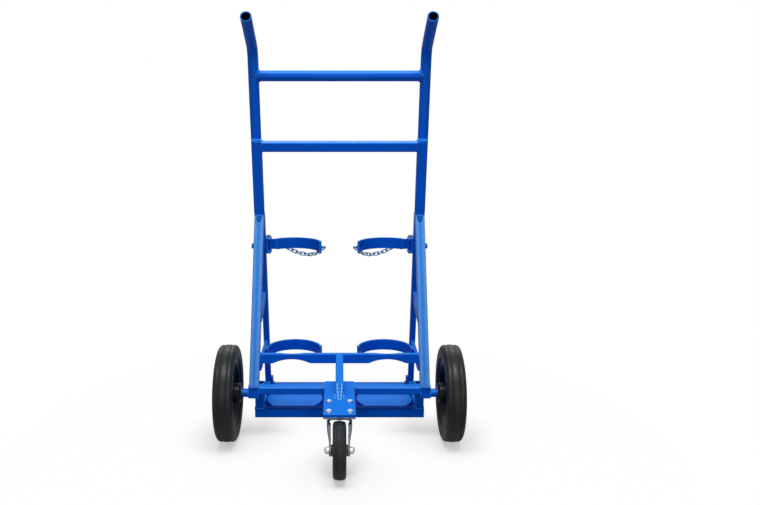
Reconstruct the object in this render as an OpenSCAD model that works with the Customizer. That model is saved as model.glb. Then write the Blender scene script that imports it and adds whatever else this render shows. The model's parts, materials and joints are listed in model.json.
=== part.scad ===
// Two-cylinder gas cylinder trolley: a welded tube and box-section frame on two
// rubber-tyred wheels, with a swivel castor under the operator's side.
// +X is to the operator's right, +Y points away from the operator, +Z is up, in millimetres.

/* [Handles and crossbars] */
// Outside diameter of the handle tubes and of the top crossbar
tube_d = 27; // [24:0.5:32]
// Wall of the round tube
tube_wall = 2.5; // [1.5:0.5:4]
// How far the handle tubes stand inside the tray's ends
tube_inset = 8; // [4:0.5:12]
// Height of the top crossbar's centre
top_bar_z = 933; // [880:1:960]
// Height at which the handle tubes start to bend
bend_z = 975; // [960:1:1020]
// Radius of the handle bend on the tube's centre line
bend_r = 45; // [35:1:60]
// Angle of the grips above the horizontal
grip_angle = 27; // [15:1:40]
// Straight length of each grip after the bend
grip_len = 118; // [80:1:160]

/* [Side frames] */
// Width and depth of the box section of uprights, struts and mid crossbar
box_w = 25; // [20:1:27]
// Wall of the box section
box_wall = 2; // [1.5:0.5:3]
// Outside corner radius of the box section
box_r = 3; // [2.5:0.5:5]
// Lean of the handle tubes and rear legs from the vertical
lean = 10.4; // [6:0.2:12]
// Height of the mitre where upright and strut meet
mitre_z = 578; // [550:1:620]
// Distance of the handle tube behind the axle at the mitre
mitre_y = 140; // [125:1:150]
// How far the uprights stand inside the tray's ends
upright_inset = 12; // [9:0.5:14]
// Height of the uprights' upper end
upright_top_z = 772; // [740:1:800]
// Height of the mid crossbar's centre
mid_bar_z = 758; // [700:1:758]
// How far the struts' feet stand inside the tray's ends
strut_inset = 1; // [0:0.5:4]
// How far the rear legs stand inside the tray's ends
leg_inset = 15; // [13:0.5:17]
// Width of a rear leg, seen from the front
leg_w = 16; // [14:1:20]
// Depth of a rear leg
leg_d = 25; // [22:1:26]
// Thickness of the flat bars that tie strut and leg
tie_t = 8; // [6:1:10]
// Height of the flat bars that tie strut and leg
tie_h = 25; // [20:1:30]
// Height at which the sloping brace leaves the strut
brace_low_z = 315; // [300:1:330]
// Height at which the sloping brace meets the rear leg
brace_high_z = 345; // [335:1:370]

/* [Axle and wheels] */
// Diameter of the main wheels
wheel_d = 250; // [240:1:260]
// Width of the main tyres
tyre_w = 50; // [44:1:56]
// Room between a tyre's inner face and the tray's end
tyre_room = 41; // [36:1:50]
// Diameter at which the tyre sits on its rim
rim_d = 176; // [160:1:190]
// Diameter of the axle between frame and wheel
axle_d = 22; // [21:0.5:24]
// Diameter of the journal that the wheel turns on
journal_d = 20; // [16:0.5:20]
// Depth of the axle beam
beam_d = 25; // [24:1:30]
// Height of the axle beam
beam_h = 20; // [18:1:24]
// Material of the axle block above the axle
beam_cover = 8; // [6:0.5:12]
// Length of the solid block at each end of the axle beam
block_w = 26; // [24:1:30]
// Material of the axle block below the axle
block_cover = 1; // [1:0.5:6]

/* [Tray] */
// Height of the tray bars' top face
tray_top_z = 75; // [70:1:80]
// Height of the near and side tray bars
tray_h = 25; // [22:1:28]
// Half the length of the tray bars
tray_half_w = 223; // [218:1:228]
// Width of the tray's side bars
tray_side_w = 22; // [18:1:22]
// Distance from the axle to the tray's far edge
tray_far_y = 250; // [250:1:262]
// Width of the far tray bar
far_bar_w = 32; // [30:1:36]
// Thickness of the far tray bar
far_bar_t = 12; // [8:1:16]
// Height of the far bar's top face and of the base discs
floor_z = 60; // [58:1:62]
// Gap between a base disc and the side bar next to it
disc_gap = 0.5; // [0.5:0.5:4]
// Distance from the axle to the bays' centre line
bay_y = 124.5; // [120:0.5:128]
// Diameter of the discs that the cylinders stand on
disc_d = 152; // [140:1:152]
// Thickness of the discs
disc_t = 6; // [4:1:8]

/* [Hoops and chains] */
// Inside radius of the cylinder hoops
hoop_r = 70.5; // [66:0.5:71]
// Thickness of the hoop band
hoop_t = 5; // [4:0.5:6]
// Height of the hoop band
hoop_h = 30; // [25:1:35]
// Height of the upper hoops' lower edge
upper_hoop_z = 472; // [460:1:490]
// Height of the lower hoops' lower edge
lower_hoop_z = 178; // [174:1:182]
// Diameter of the hinge pins
pin_d = 8; // [6:0.5:10]
// Wire diameter of the chain links
link_wire = 3; // [2:0.5:3]
// Inside length of a chain link
link_len = 13; // [12:0.5:16]
// How far the chain hangs below the hoop band
chain_drop = 18; // [12:1:30]

/* [Castor] */
// Diameter of the castor wheel
castor_d = 136; // [130:1:136]
// Width of the castor wheel
castor_w = 32; // [28:1:34]
// Distance from the axle to the swivel axis
swivel_y = 165; // [150:1:180]
// Distance from the swivel axis to the castor wheel's centre
trail = 52; // [52:1:60]
// Room between the top of the castor wheel and the mounting plate
castor_head = 8; // [8:0.5:16]
// Width of the castor mounting plates
plate_w = 76; // [76:1:84]
// Thickness of the frame's mounting plate
plate_t = 8; // [6:1:10]
// Diameter of the castor's axle bolt
castor_bolt_d = 10; // [8:0.5:12]
// Diameter of the swivel pin
kingpin_d = 12; // [10:0.5:14]
// Width of the sloping centre strut
centre_strut_w = 20; // [18:1:24]

/* [Hidden] */
$fn = 64;
paint = "#1f62c4";
zinc = "#b9bec6";
rubber = "#1b1c1e";
black = "#26272a";

// Running clearance between a pin and its bore, gap between welded curved faces, gap between bodies,
// play of a bolt in its hole
run_gap = 0.05;
weld_gap = 0.1;
side_gap = 0.3;
hole_gap = 0.4;

// Side of the blocks that cut shapes off, larger than the trolley
cut_size = 1600;

// Places across the trolley
tube_x = tray_half_w - tube_inset;
upright_x = tray_half_w - upright_inset;
strut_foot_x = tray_half_w - strut_inset;
leg_x = tray_half_w - leg_inset;
tyre_inner_x = tray_half_w + tyre_room;
bay_x = tray_half_w - tray_side_w - disc_gap - disc_d / 2;

// The axle beam clears both the axle and the castor
axle_z = wheel_d / 2;
beam_top_z = max(axle_z + axle_d / 2 + beam_cover, castor_d + castor_head);
block_h = beam_top_z - axle_z + axle_d / 2 + block_cover;

// The axle lies this far in front of the middle of the trolley's length
castor_y = -swivel_y - trail;
axle_y = (castor_d / 2 - castor_y - tray_far_y) / 2;

// Line of handle tube and rear leg, and the line of the upright in front of it
upright_step = tube_d / 2 + box_w / 2 + weld_gap;
function tube_y(z) = mitre_y - tan(lean) * (z - mitre_z);
function upright_y(z) = tube_y(z) - upright_step / cos(lean);
leg_top_z = mitre_z;
leg_foot = [leg_x, tube_y(floor_z), floor_z];
leg_head = [leg_x, tube_y(leg_top_z), leg_top_z];
strut_foot = [strut_foot_x, 0, beam_top_z];
strut_head = [upright_x, upright_y(mitre_z), mitre_z];
function strut_at(z) = strut_foot + (strut_head - strut_foot) * (z - beam_top_z) / (mitre_z - beam_top_z);

// Axle beam, end blocks and mounting plate
block_x = strut_foot_x - box_w / 2 + 0.5;
beam_z = beam_top_z - beam_h;
plate_top_z = beam_top_z + plate_t;
castor_plate_t = 4;
castor_plate_d = 80;
plate_near_y = -swivel_y - castor_plate_d / 2;
castor_bolt_x = 25;
castor_bolt_y = 30;
castor_fix_d = 8;
castor_head_d = 14;

// Tray
near_bar_y = beam_d / 2;
near_bar_d = 25;
tray_z = tray_top_z - tray_h;
near_back_y = near_bar_y + near_bar_d;
far_bar_y = tray_far_y - far_bar_w;
post_w = 23;
post_x = tray_half_w - post_w - strut_inset;
tab_w = 30;

// Cross plate between the struts
cross_z = 201;
cross_h = 25;
cross_d = 12;
cross_mid = strut_at(cross_z + cross_h / 2);
cross_y = cross_mid[1] - cross_d / 2;
cradle_depth = 7;
arch_h = 11;
arch_w = 112;

// Foot of the centre strut on the mounting plate
centre_foot_y = -92;

// Ties and hinge
tie_x = leg_x - 4;
hoop_out = hoop_r + hoop_t;
root_pad = 16;
leg_inner_x = leg_x - leg_w / 2;
hinge_r = 7;
hinge_x = leg_inner_x - 5;
hinge_y = tube_y(upper_hoop_z) + leg_d / 2 / cos(lean) + hinge_r + 2.5;
hinge_angle = 48;
ear_t = 5;
bracket_t = 6;
bracket_w = 14;
arm_inset = 1;

// Chain: links along an arc behind the hoop that sags between its two pegs
chain_gap = 7;
chain_r = hoop_out + chain_gap;
chain_from = 62;
chain_to = 166;
link_w = 7;
link_slack = 0.8;
link_pitch = link_len - link_slack;
chain_top_z = upper_hoop_z + hoop_h / 2;
chain_sag = hoop_h / 2 + chain_drop;
function chain_angle(s) = chain_from + (chain_to - chain_from) * s;
function chain_at(s) = [chain_r * cos(chain_angle(s)), chain_r * sin(chain_angle(s)),
    chain_top_z - chain_sag * 4 * s * (1 - s)];
chain_steps = 200;
chain_points = [for (i = [0 : chain_steps]) chain_at(i / chain_steps)];
chain_runs = [for (i = 0, run = 0; i <= chain_steps;
    run = run + (i < chain_steps ? norm(chain_points[i + 1] - chain_points[i]) : 0), i = i + 1) [run, i / chain_steps]];
chain_len = chain_runs[chain_steps][0];
link_count = floor(chain_len / link_pitch);
function share_at(run) = lookup(run, chain_runs);
function link_run(k) = chain_len / 2 + (k - (link_count - 1) / 2) * link_pitch;
peg_r = 1.5;
peg_head_r = 4;
peg_head_h = 2;
peg_len = 2 * chain_gap;
peg_step = link_len / 2 - peg_r - 1;

// Wheel hub
hub_r = 26;
bush_r = 14;
hub_in_x = tyre_inner_x - 8;
hub_out_x = tyre_inner_x + tyre_w - 14;
washer_t = 2.5;
washer_r = 18;
cap_t = 7;
cap_r = 15;
web_x = tyre_inner_x + tyre_w / 2 + 4;
web_t = 6;
flange_r = rim_d / 2 - 12;
rim_w = tyre_w - 14;
rim_bolt_r = 44;
rim_bolts = 4;
rim_bolt_d = 8;
rim_nut_d = 14;
web_slope = 3;
function web_lean(r) = web_slope * (r - hub_r - 2) / (flange_r - hub_r - 10);

// Castor fork
crown_t = 4;
race_h = 7;
crown_r = 31;
race_r = 29;
castor_plate_z = beam_top_z - castor_plate_t;
crown_z = castor_plate_z - race_h - crown_t;
fork_gap = 4;
fork_t = 4;
fork_x = castor_w / 2 + fork_gap + 0.5;
fork_end_r = 14;
dome_r = 7.5;
castor_z = castor_d / 2;
castor_rim_d = 92;
slot_front_y = -swivel_y - 19;

// Places shapes that are drawn from the axle line, with side = 1 for right and -1 for left
module on_axle() { translate([0, axle_y, 0]) children(); }
module on_side(side) { on_axle() mirror([side < 0 ? 1 : 0, 0, 0]) children(); }
module both_sides() { on_side(1) children(); on_side(-1) children(); }

// Turns a shape drawn up the Z axis so that it runs from one point to another
module along(from, to) {
    run = to - from;
    translate(from) rotate([-asin(run[1] / norm(run)), atan2(run[0], run[2]), 0]) children();
}

// Rectangle with round corners
module round_rect(w, d, r) {
    square([w - 2 * r, d], center = true);
    square([w, d - 2 * r], center = true);
    for (sx = [-1, 1], sy = [-1, 1]) translate([sx * (w / 2 - r), sy * (d / 2 - r)]) circle(r);
}

// Box section, hollow or solid, drawn up the Z axis
module box_section(w, d, len, wall) {
    linear_extrude(len) difference() {
        round_rect(w, d, box_r);
        square([w - 2 * wall, d - 2 * wall], center = true);
    }
}
module box_solid(w, d, len, grow = 0) {
    translate([0, 0, len / 2]) cube([w + 2 * grow, d + 2 * grow, len], center = true);
}

// Slab that covers everything above or below a height
module above(z) { translate([-cut_size / 2, -cut_size / 2, z]) cube(cut_size); }
module below(z) { translate([-cut_size / 2, -cut_size / 2, z - cut_size]) cube(cut_size); }

// Straight run, bend and grip of a handle tube, as a solid rod of the given radius
module handle_rod(r, extra) {
    start = [tube_x, tube_y(leg_top_z), leg_top_z];
    run = (bend_z - leg_top_z) / cos(lean);
    turn = 90 - grip_angle - lean;
    translate(start) rotate([lean, 0, 0]) translate([0, -bend_r, run]) {
        translate([0, bend_r, 0]) rotate([180, 0, 0]) cylinder(r = r, h = run + tube_d);
        rotate([90, 0, 90]) rotate_extrude(angle = turn) translate([bend_r, 0]) circle(r);
        translate([0, bend_r * cos(turn), bend_r * sin(turn)])
            rotate([turn, 0, 0]) cylinder(r = r, h = grip_len + extra);
    }
}
module handle_tube(side) {
    color(paint) on_side(side) difference() {
        handle_rod(tube_d / 2, 0);
        handle_rod(tube_d / 2 - tube_wall, 1);
        below(leg_top_z);
    }
}

module top_crossbar() {
    color(paint) on_axle() difference() {
        translate([-tube_x, tube_y(top_bar_z), top_bar_z]) rotate([0, 90, 0]) difference() {
            cylinder(d = tube_d, h = 2 * tube_x);
            translate([0, 0, -1]) cylinder(d = tube_d - 2 * tube_wall, h = 2 * tube_x + 2);
        }
        for (s = [0, 1]) mirror([s, 0, 0])
            translate([tube_x, tube_y(leg_top_z), leg_top_z]) rotate([lean, 0, 0])
                cylinder(r = tube_d / 2 + weld_gap, h = bend_z - leg_top_z);
    }
}

module mid_crossbar() {
    half = upright_x - box_w / 2;
    color(paint) on_axle() translate([-half, upright_y(mid_bar_z), mid_bar_z])
        rotate([lean, 0, 0]) rotate([0, 90, 0]) box_section(box_w, box_w, 2 * half, box_wall);
}

// Uprights stand in front of the handle tubes, from the mitre to just over the mid crossbar
upright_len = (upright_top_z - mitre_z) / cos(lean);
module at_upright() { translate(strut_head) rotate([lean, 0, 0]) children(); }
module upright(side) {
    color(paint) on_side(side) difference() {
        at_upright() translate([0, 0, -20]) box_section(box_w, box_w, upright_len + 20, box_wall);
        below(mitre_z);
    }
}
module upright_caps() {
    cap_h = 3;
    color(paint) both_sides() at_upright() translate([0, 0, upright_len])
        linear_extrude(cap_h) round_rect(box_w, box_w, box_r);
}

// Struts run from the mitre down to the axle blocks
strut_over = 30;
module strut_run(len_over) {
    along(strut_foot, strut_head) translate([0, 0, -len_over]) children();
}
strut_len = norm(strut_head - strut_foot);
module strut_solid(grow) {
    strut_run(strut_over) box_solid(box_w, box_w, strut_len + 2 * strut_over, grow);
}
module strut(side) {
    color(paint) on_side(side) difference() {
        strut_run(strut_over) box_section(box_w, box_w, strut_len + 2 * strut_over, box_wall);
        below(beam_top_z);
        above(mitre_z);
    }
}

// Rear legs carry the handle tubes' line down to the far tray bar
leg_over = 20;
leg_len = norm(leg_head - leg_foot);
module leg_run() { along(leg_foot, leg_head) translate([0, 0, -leg_over]) children(); }
module leg_solid(grow) { leg_run() box_solid(leg_w, leg_d, leg_len + 2 * leg_over, grow); }
module rear_leg(side) {
    color(paint) on_side(side) difference() {
        leg_run() box_section(leg_w, leg_d, leg_len + 2 * leg_over, box_wall);
        below(floor_z);
        above(leg_top_z);
    }
}

// Flat bars between strut and rear leg, cut to fit both
module side_bar(z_strut, z_leg) {
    from = [tie_x, strut_at(z_strut)[1], z_strut];
    to = [tie_x, tube_y(z_leg), z_leg];
    slope = atan2(z_leg - z_strut, to[1] - from[1]);
    difference() {
        translate(from) rotate([slope, 0, 0]) translate([0, 0, -tie_h / 2])
            cube([tie_t, norm(to - from), tie_h]);
        strut_solid(0);
        leg_solid(0);
    }
}
upper_tie_z = upper_hoop_z + hoop_h / 2;
lower_tie_z = lower_hoop_z + hoop_h / 2;
module upper_tie(side) { color(paint) on_side(side) side_bar(upper_tie_z, upper_tie_z); }
module side_brace(side) { color(paint) on_side(side) side_bar(brace_low_z, brace_high_z); }
module lower_tie(side) {
    color(paint) on_side(side) difference() {
        side_bar(lower_tie_z, lower_tie_z);
        cross_block();
    }
}

// Plate between the struts: hollowed behind for each cylinder and arched below
module cross_block() { translate([-strut_foot_x, cross_y, cross_z]) cube([2 * strut_foot_x, cross_d, cross_h]); }
module lower_cross_plate() {
    cradle_r = disc_d / 2;
    color(paint) on_axle() difference() {
        cross_block();
        for (s = [-1, 1]) {
            translate([s * bay_x, cross_y + cross_d - cradle_depth + cradle_r, cross_z - 1])
                cylinder(r = cradle_r, h = cross_h + 2);
            translate([s * bay_x, cross_y - 1, cross_z + arch_h - arch_w])
                rotate([-90, 0, 0]) cylinder(r = arch_w, h = cross_d + 2, $fn = 128);
        }
        for (s = [0, 1]) mirror([s, 0, 0]) strut_solid(0);
    }
}

// Centre strut slopes from the cross plate down to the castor mounting plate
module centre_strut() {
    from = [0, centre_foot_y, plate_top_z];
    to = [0, cross_y, cross_z + cross_h - centre_strut_w / 2 - 1];
    run = norm(to - from);
    color(paint) on_axle() difference() {
        along(from, to) translate([0, 0, -30])
            box_section(centre_strut_w, centre_strut_w, run + 60, box_wall);
        below(plate_top_z);
        translate([-cut_size / 2, cross_y, -cut_size / 2]) cube(cut_size);
    }
}

module at_castor_bolts() {
    for (sx = [-1, 1], sy = [-1, 1])
        translate([sx * castor_bolt_x, -swivel_y + sy * castor_bolt_y, 0]) children();
}
module castor_mount_plate() {
    len = beam_d / 2 - plate_near_y;
    color(paint) on_axle() difference() {
        translate([0, plate_near_y + len / 2, beam_top_z]) linear_extrude(plate_t)
            round_rect(plate_w, len, box_r);
        at_castor_bolts() translate([0, 0, beam_top_z - 1]) cylinder(d = castor_fix_d + hole_gap, h = plate_t + 2);
    }
}

module axle_beam() {
    color(paint) on_axle() translate([-block_x, 0, beam_z + beam_h / 2]) rotate([0, 90, 0])
        box_section(beam_h, beam_d, 2 * block_x, box_wall);
}
module axle_block(side) {
    color(paint) on_side(side) difference() {
        translate([block_x, 0, beam_top_z - block_h / 2]) rotate([0, 90, 0])
            linear_extrude(block_w) round_rect(block_h, beam_d, box_r);
        translate([block_x - 1, 0, axle_z]) rotate([0, 90, 0])
            cylinder(d = axle_d + 2 * run_gap, h = block_w + 2);
    }
}
module axle_stub(side) {
    shoulder_x = hub_in_x - washer_t - side_gap;
    end_x = hub_out_x + washer_t + side_gap + cap_t;
    color(paint) on_side(side) translate([0, 0, axle_z]) rotate([0, 90, 0]) {
        translate([0, 0, block_x]) cylinder(d = axle_d, h = shoulder_x - block_x);
        translate([0, 0, shoulder_x]) cylinder(d = journal_d, h = end_x - shoulder_x);
    }
}

module drop_posts() {
    color(paint) both_sides() translate([post_x + post_w / 2, near_bar_y + near_bar_d / 2, tray_top_z])
        box_section(post_w, near_bar_d, beam_top_z - tray_top_z, box_wall);
}
module tray_near_bar() {
    color(paint) on_axle() translate([-tray_half_w, near_bar_y + near_bar_d / 2, tray_z + tray_h / 2])
        rotate([0, 90, 0]) box_section(tray_h, near_bar_d, 2 * tray_half_w, box_wall);
}
module tray_far_bar() {
    color(paint) on_axle() translate([-tray_half_w, far_bar_y, floor_z - far_bar_t])
        cube([2 * tray_half_w, far_bar_w, far_bar_t]);
}
module tray_side_bars() {
    color(paint) both_sides()
        translate([tray_half_w - tray_side_w / 2, near_back_y, tray_z + tray_h / 2])
            rotate([-90, 0, 0]) box_section(tray_side_w, tray_h, far_bar_y - near_back_y, box_wall);
}

// Discs that the cylinders stand on, with a tab to the near bar and one to the far bar
module base_disc(side) {
    color(paint) on_side(side) translate([bay_x, 0, floor_z - disc_t]) {
        translate([0, bay_y, 0]) cylinder(d = disc_d, h = disc_t, $fn = 128);
        translate([-tab_w / 2, near_back_y, 0]) cube([tab_w, far_bar_y - near_back_y, disc_t]);
    }
}
module foot_lugs() {
    lug_t = 6;
    lug_h = 24;
    lug_d = 18;
    color(paint) both_sides() translate([leg_inner_x - lug_t, far_bar_y + 8, floor_z]) {
        cube([lug_t, lug_d, lug_h]);
        translate([-4, 0, 0]) cube([4, lug_d, lug_t]);
    }
}

// Half ring of flat bar, from one angle to another, about a bay's centre
module band(from, to) {
    rotate([0, 0, from]) rotate_extrude(angle = to - from, $fn = 128)
        translate([hoop_r, 0]) square([hoop_t, hoop_h]);
}
// Stub at a hoop's free end that rises above the band
module end_stop(rise) {
    translate([-hoop_out - 1, -hoop_t, 0]) cube([hoop_t, hoop_t + 1, hoop_h + rise]);
}
module lower_hoop(side) {
    pad_x = tie_x - bay_x;
    color(paint) on_side(side) translate([bay_x, bay_y, lower_hoop_z]) {
        band(0, 180);
        translate([hoop_r, -root_pad, 0]) cube([pad_x - hoop_r, root_pad, hoop_h]);
        end_stop(5);
    }
}

// Hinge of an upper hoop, on the inner face of the rear leg
module hinge_bracket(side) {
    ear_top = upper_hoop_z + hoop_h + side_gap;
    ear_low = upper_hoop_z - side_gap - ear_t;
    plate_y = tube_y(upper_hoop_z + hoop_h / 2) - leg_d / 2;
    color(paint) on_side(side) difference() {
        union() {
            translate([leg_inner_x - bracket_t, plate_y, ear_low])
                cube([bracket_t, bracket_w, ear_top + ear_t - ear_low]);
            for (z = [ear_low, ear_top]) {
                translate([leg_inner_x - 2 * hinge_r, plate_y, z]) cube([2 * hinge_r, hinge_y - plate_y, ear_t]);
                translate([hinge_x, hinge_y, z]) cylinder(r = hinge_r, h = ear_t);
            }
        }
        translate([hinge_x, hinge_y, ear_low - 1])
            cylinder(d = pin_d + 2 * run_gap, h = ear_top + ear_t - ear_low + 2);
    }
}
module hinge_pins() {
    head_h = 4;
    low = upper_hoop_z - side_gap - ear_t;
    top = upper_hoop_z + hoop_h + side_gap + ear_t;
    color(zinc) both_sides() translate([hinge_x, hinge_y, 0]) {
        translate([0, 0, low - head_h]) cylinder(d = pin_d, h = top - low + head_h);
        translate([0, 0, top]) cylinder(r = pin_d / 2 + 2, h = head_h);
    }
}

// Upper hoop with its knuckle, end stop and two chain pegs
module upper_hoop(side) {
    root = [bay_x, bay_y] + (hoop_out - 1) * [cos(hinge_angle), sin(hinge_angle)];
    reach = [hinge_x, hinge_y] - root;
    color(paint) on_side(side) translate([0, 0, upper_hoop_z]) {
        difference() {
            union() {
                translate([bay_x, bay_y, 0]) band(hinge_angle, 180);
                translate([root[0], root[1], arm_inset]) rotate([0, 0, atan2(reach[1], reach[0])])
                    translate([-hoop_t / 2, -hoop_t / 2, 0])
                        cube([norm(reach) + hoop_t / 2, hoop_t, hoop_h - 2 * arm_inset]);
                translate([hinge_x, hinge_y, 0]) cylinder(r = hinge_r, h = hoop_h);
            }
            translate([hinge_x, hinge_y, -1]) cylinder(d = pin_d + 2 * run_gap, h = hoop_h + 2);
        }
        translate([bay_x, bay_y, 0]) end_stop(3);
        chain_peg(share_at(link_run(0) - peg_step));
        chain_peg(share_at(link_run(link_count - 1) + peg_step));
    }
}

// Headed peg on the outside of the band that holds an end link of the chain
module chain_peg(s) {
    translate([bay_x, bay_y, chain_at(s)[2] - upper_hoop_z]) rotate([0, 90, chain_angle(s)])
        translate([0, 0, hoop_out - 1]) {
            cylinder(r = peg_r, h = peg_len);
            translate([0, 0, peg_len]) cylinder(r = peg_head_r, h = peg_head_h);
        }
}

// One chain link drawn along X, in the XY plane
module link() {
    r = link_wire / 2;
    half = (link_len - link_w) / 2;
    bend = link_w / 2 + r;
    for (s = [0, 180]) rotate([0, 0, s]) {
        translate([half, 0, 0]) rotate([0, 0, -90]) rotate_extrude(angle = 180, $fn = 32)
            translate([bend, 0]) circle(r, $fn = 24);
        translate([-half, bend, 0]) rotate([0, 90, 0]) cylinder(r = r, h = 2 * half, $fn = 24);
    }
}
module chain(side) {
    color(zinc) on_side(side) translate([bay_x, bay_y, 0])
        for (k = [0 : link_count - 1]) {
            s = share_at(link_run(k));
            here = chain_at(s);
            dir = chain_at(s + 0.01) - chain_at(s - 0.01);
            translate(here) rotate([0, -asin(dir[2] / norm(dir)), atan2(dir[1], dir[0])])
                rotate([k % 2 == 0 ? 45 : -45, 0, 0]) link();
        }
}

// Wheels are turned about the axle line: the profile's X is the radius and its Y runs outward
module wheel_turn(side) { on_side(side) translate([0, 0, axle_z]) rotate([0, 90, 0]) children(); }
module tyre(side) {
    r = wheel_d / 2;
    crown = 6;
    groove_w = 4;
    groove_d = 4;
    lip = 6;
    mid = tyre_inner_x + tyre_w / 2;
    color(rubber) wheel_turn(side) difference() {
        rotate_extrude($fn = 160) difference() {
            polygon([
                [rim_d / 2 + run_gap, mid - rim_w / 2], [rim_d / 2 + lip, tyre_inner_x + 4],
                [rim_d / 2 + 2 * lip, tyre_inner_x + 1], [r - 3 * crown, tyre_inner_x],
                [r - crown, tyre_inner_x + 2], [r - 2, tyre_inner_x + crown], [r, mid - 6],
                [r, mid + 6], [r - 2, tyre_inner_x + tyre_w - crown], [r - crown, tyre_inner_x + tyre_w - 2],
                [r - 3 * crown, tyre_inner_x + tyre_w], [rim_d / 2 + 2 * lip, tyre_inner_x + tyre_w - 1],
                [rim_d / 2 + lip, tyre_inner_x + tyre_w - 4], [rim_d / 2 + run_gap, mid + rim_w / 2]
            ]);
            for (s = [-1, 1]) translate([r - groove_d, mid + s * tyre_w / 5 - groove_w / 2])
                square([2 * groove_d, groove_w]);
        }
    }
}
module rim(side) {
    mid = tyre_inner_x + tyre_w / 2;
    color(black) wheel_turn(side) difference() {
        rotate_extrude($fn = 128) polygon([
            [bush_r + run_gap, hub_in_x], [hub_r - 4, hub_in_x], [hub_r, hub_in_x + 4],
            [hub_r + 2, web_x - web_t], [flange_r - 8, web_x - web_t - web_slope], [flange_r, mid - rim_w / 2 + 4],
            [flange_r + 2, mid - rim_w / 2], [rim_d / 2, mid - rim_w / 2], [rim_d / 2, mid + rim_w / 2],
            [flange_r + 2, mid + rim_w / 2], [flange_r, mid + rim_w / 2 - 4], [flange_r - 8, web_x - web_slope],
            [hub_r + 2, web_x], [hub_r, hub_out_x - 4], [hub_r - 4, hub_out_x], [bush_r + run_gap, hub_out_x]
        ]);
        at_rim_bolts() translate([0, 0, web_x - 3 * web_t]) cylinder(d = rim_bolt_d + hole_gap, h = 6 * web_t);
    }
}
module at_rim_bolts() {
    for (k = [0 : rim_bolts - 1]) rotate([0, 0, 45 + k * 360 / rim_bolts]) translate([rim_bolt_r, 0, 0]) children();
}
module rim_bolt_set(side) {
    face_in = web_x - web_t - web_lean(rim_bolt_r + rim_nut_d / 2);
    face_out = web_x - web_lean(rim_bolt_r - rim_nut_d / 2);
    head_h = 5;
    color(zinc) wheel_turn(side) at_rim_bolts() {
        translate([0, 0, face_in - head_h]) cylinder(d = rim_nut_d, h = head_h, $fn = 6);
        translate([0, 0, face_in - head_h]) cylinder(d = rim_bolt_d, h = face_out - face_in + 2.6 * head_h);
        translate([0, 0, face_out]) cylinder(d = rim_nut_d, h = head_h, $fn = 6);
    }
}
module hub_bush(side) {
    color(zinc) wheel_turn(side) translate([0, 0, hub_in_x]) difference() {
        cylinder(r = bush_r, h = hub_out_x - hub_in_x);
        translate([0, 0, -1]) cylinder(r = journal_d / 2 + run_gap, h = hub_out_x - hub_in_x + 2);
    }
}
module axle_washers() {
    color(zinc) for (side = [-1, 1], x = [hub_in_x - washer_t - side_gap, hub_out_x + side_gap])
        wheel_turn(side) translate([0, 0, x]) difference() {
            cylinder(r = washer_r, h = washer_t);
            translate([0, 0, -1]) cylinder(r = journal_d / 2 + run_gap, h = washer_t + 2);
        }
}
module axle_end_caps() {
    x = hub_out_x + side_gap + washer_t;
    color(zinc) for (side = [-1, 1]) wheel_turn(side) translate([0, 0, x]) difference() {
        cylinder(r = cap_r, h = cap_t);
        translate([0, 0, -1]) cylinder(r = journal_d / 2 + run_gap, h = cap_t + 2);
    }
}

// Castor: fixed plate and swivel pin, turning race and fork, and the wheel on its bolt
module on_swivel() { on_axle() translate([0, -swivel_y, 0]) children(); }
module castor_top_plate() {
    color(zinc) on_axle() difference() {
        translate([0, -swivel_y, castor_plate_z]) linear_extrude(castor_plate_t)
            round_rect(plate_w, castor_plate_d, box_r);
        at_castor_bolts() translate([0, 0, castor_plate_z - 1])
            cylinder(d = castor_fix_d + hole_gap, h = castor_plate_t + 2);
    }
}
module castor_kingpin() {
    head_h = 5;
    color(zinc) on_swivel() {
        translate([0, 0, crown_z - side_gap - head_h]) cylinder(d = 1.5 * kingpin_d, h = head_h);
        translate([0, 0, crown_z - side_gap]) cylinder(d = kingpin_d, h = castor_plate_z - crown_z + side_gap);
    }
}
module castor_bolts() {
    head_h = 1.8;
    color(zinc) on_axle() at_castor_bolts() {
        translate([0, 0, castor_plate_z - head_h]) cylinder(d = castor_head_d, h = head_h);
        translate([0, 0, castor_plate_z]) cylinder(d = castor_fix_d, h = castor_plate_t + plate_t + castor_fix_d);
    }
}
module castor_nuts() {
    nut_h = 6;
    color(zinc) on_axle() at_castor_bolts() translate([0, 0, plate_top_z]) difference() {
        cylinder(d = castor_head_d, h = nut_h, $fn = 6);
        translate([0, 0, -1]) cylinder(d = castor_fix_d + 2 * run_gap, h = nut_h + 2);
    }
}
module swivel_race() {
    color(zinc) on_swivel() translate([0, 0, crown_z + crown_t]) rotate_extrude() polygon([
        [kingpin_d / 2 + 2, 0], [race_r, 0], [race_r, 2], [race_r - 3, castor_plate_z - crown_z - crown_t - side_gap],
        [kingpin_d / 2 + 2, castor_plate_z - crown_z - crown_t - side_gap]
    ]);
}
module fork_leg() {
    top = crown_z + crown_t;
    edge_r = fork_end_r - 1;
    color(zinc) translate([fork_x, 0, 0]) rotate([90, 0, 90]) linear_extrude(fork_t) union() {
        translate([-trail, castor_z]) circle(fork_end_r);
        polygon([
            [-22, top], [22, top], [22, top - 10],
            [-trail + edge_r * cos(-35), castor_z + edge_r * sin(-35)],
            [-trail + edge_r * cos(155), castor_z + edge_r * sin(155)]
        ]);
    }
}
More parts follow.
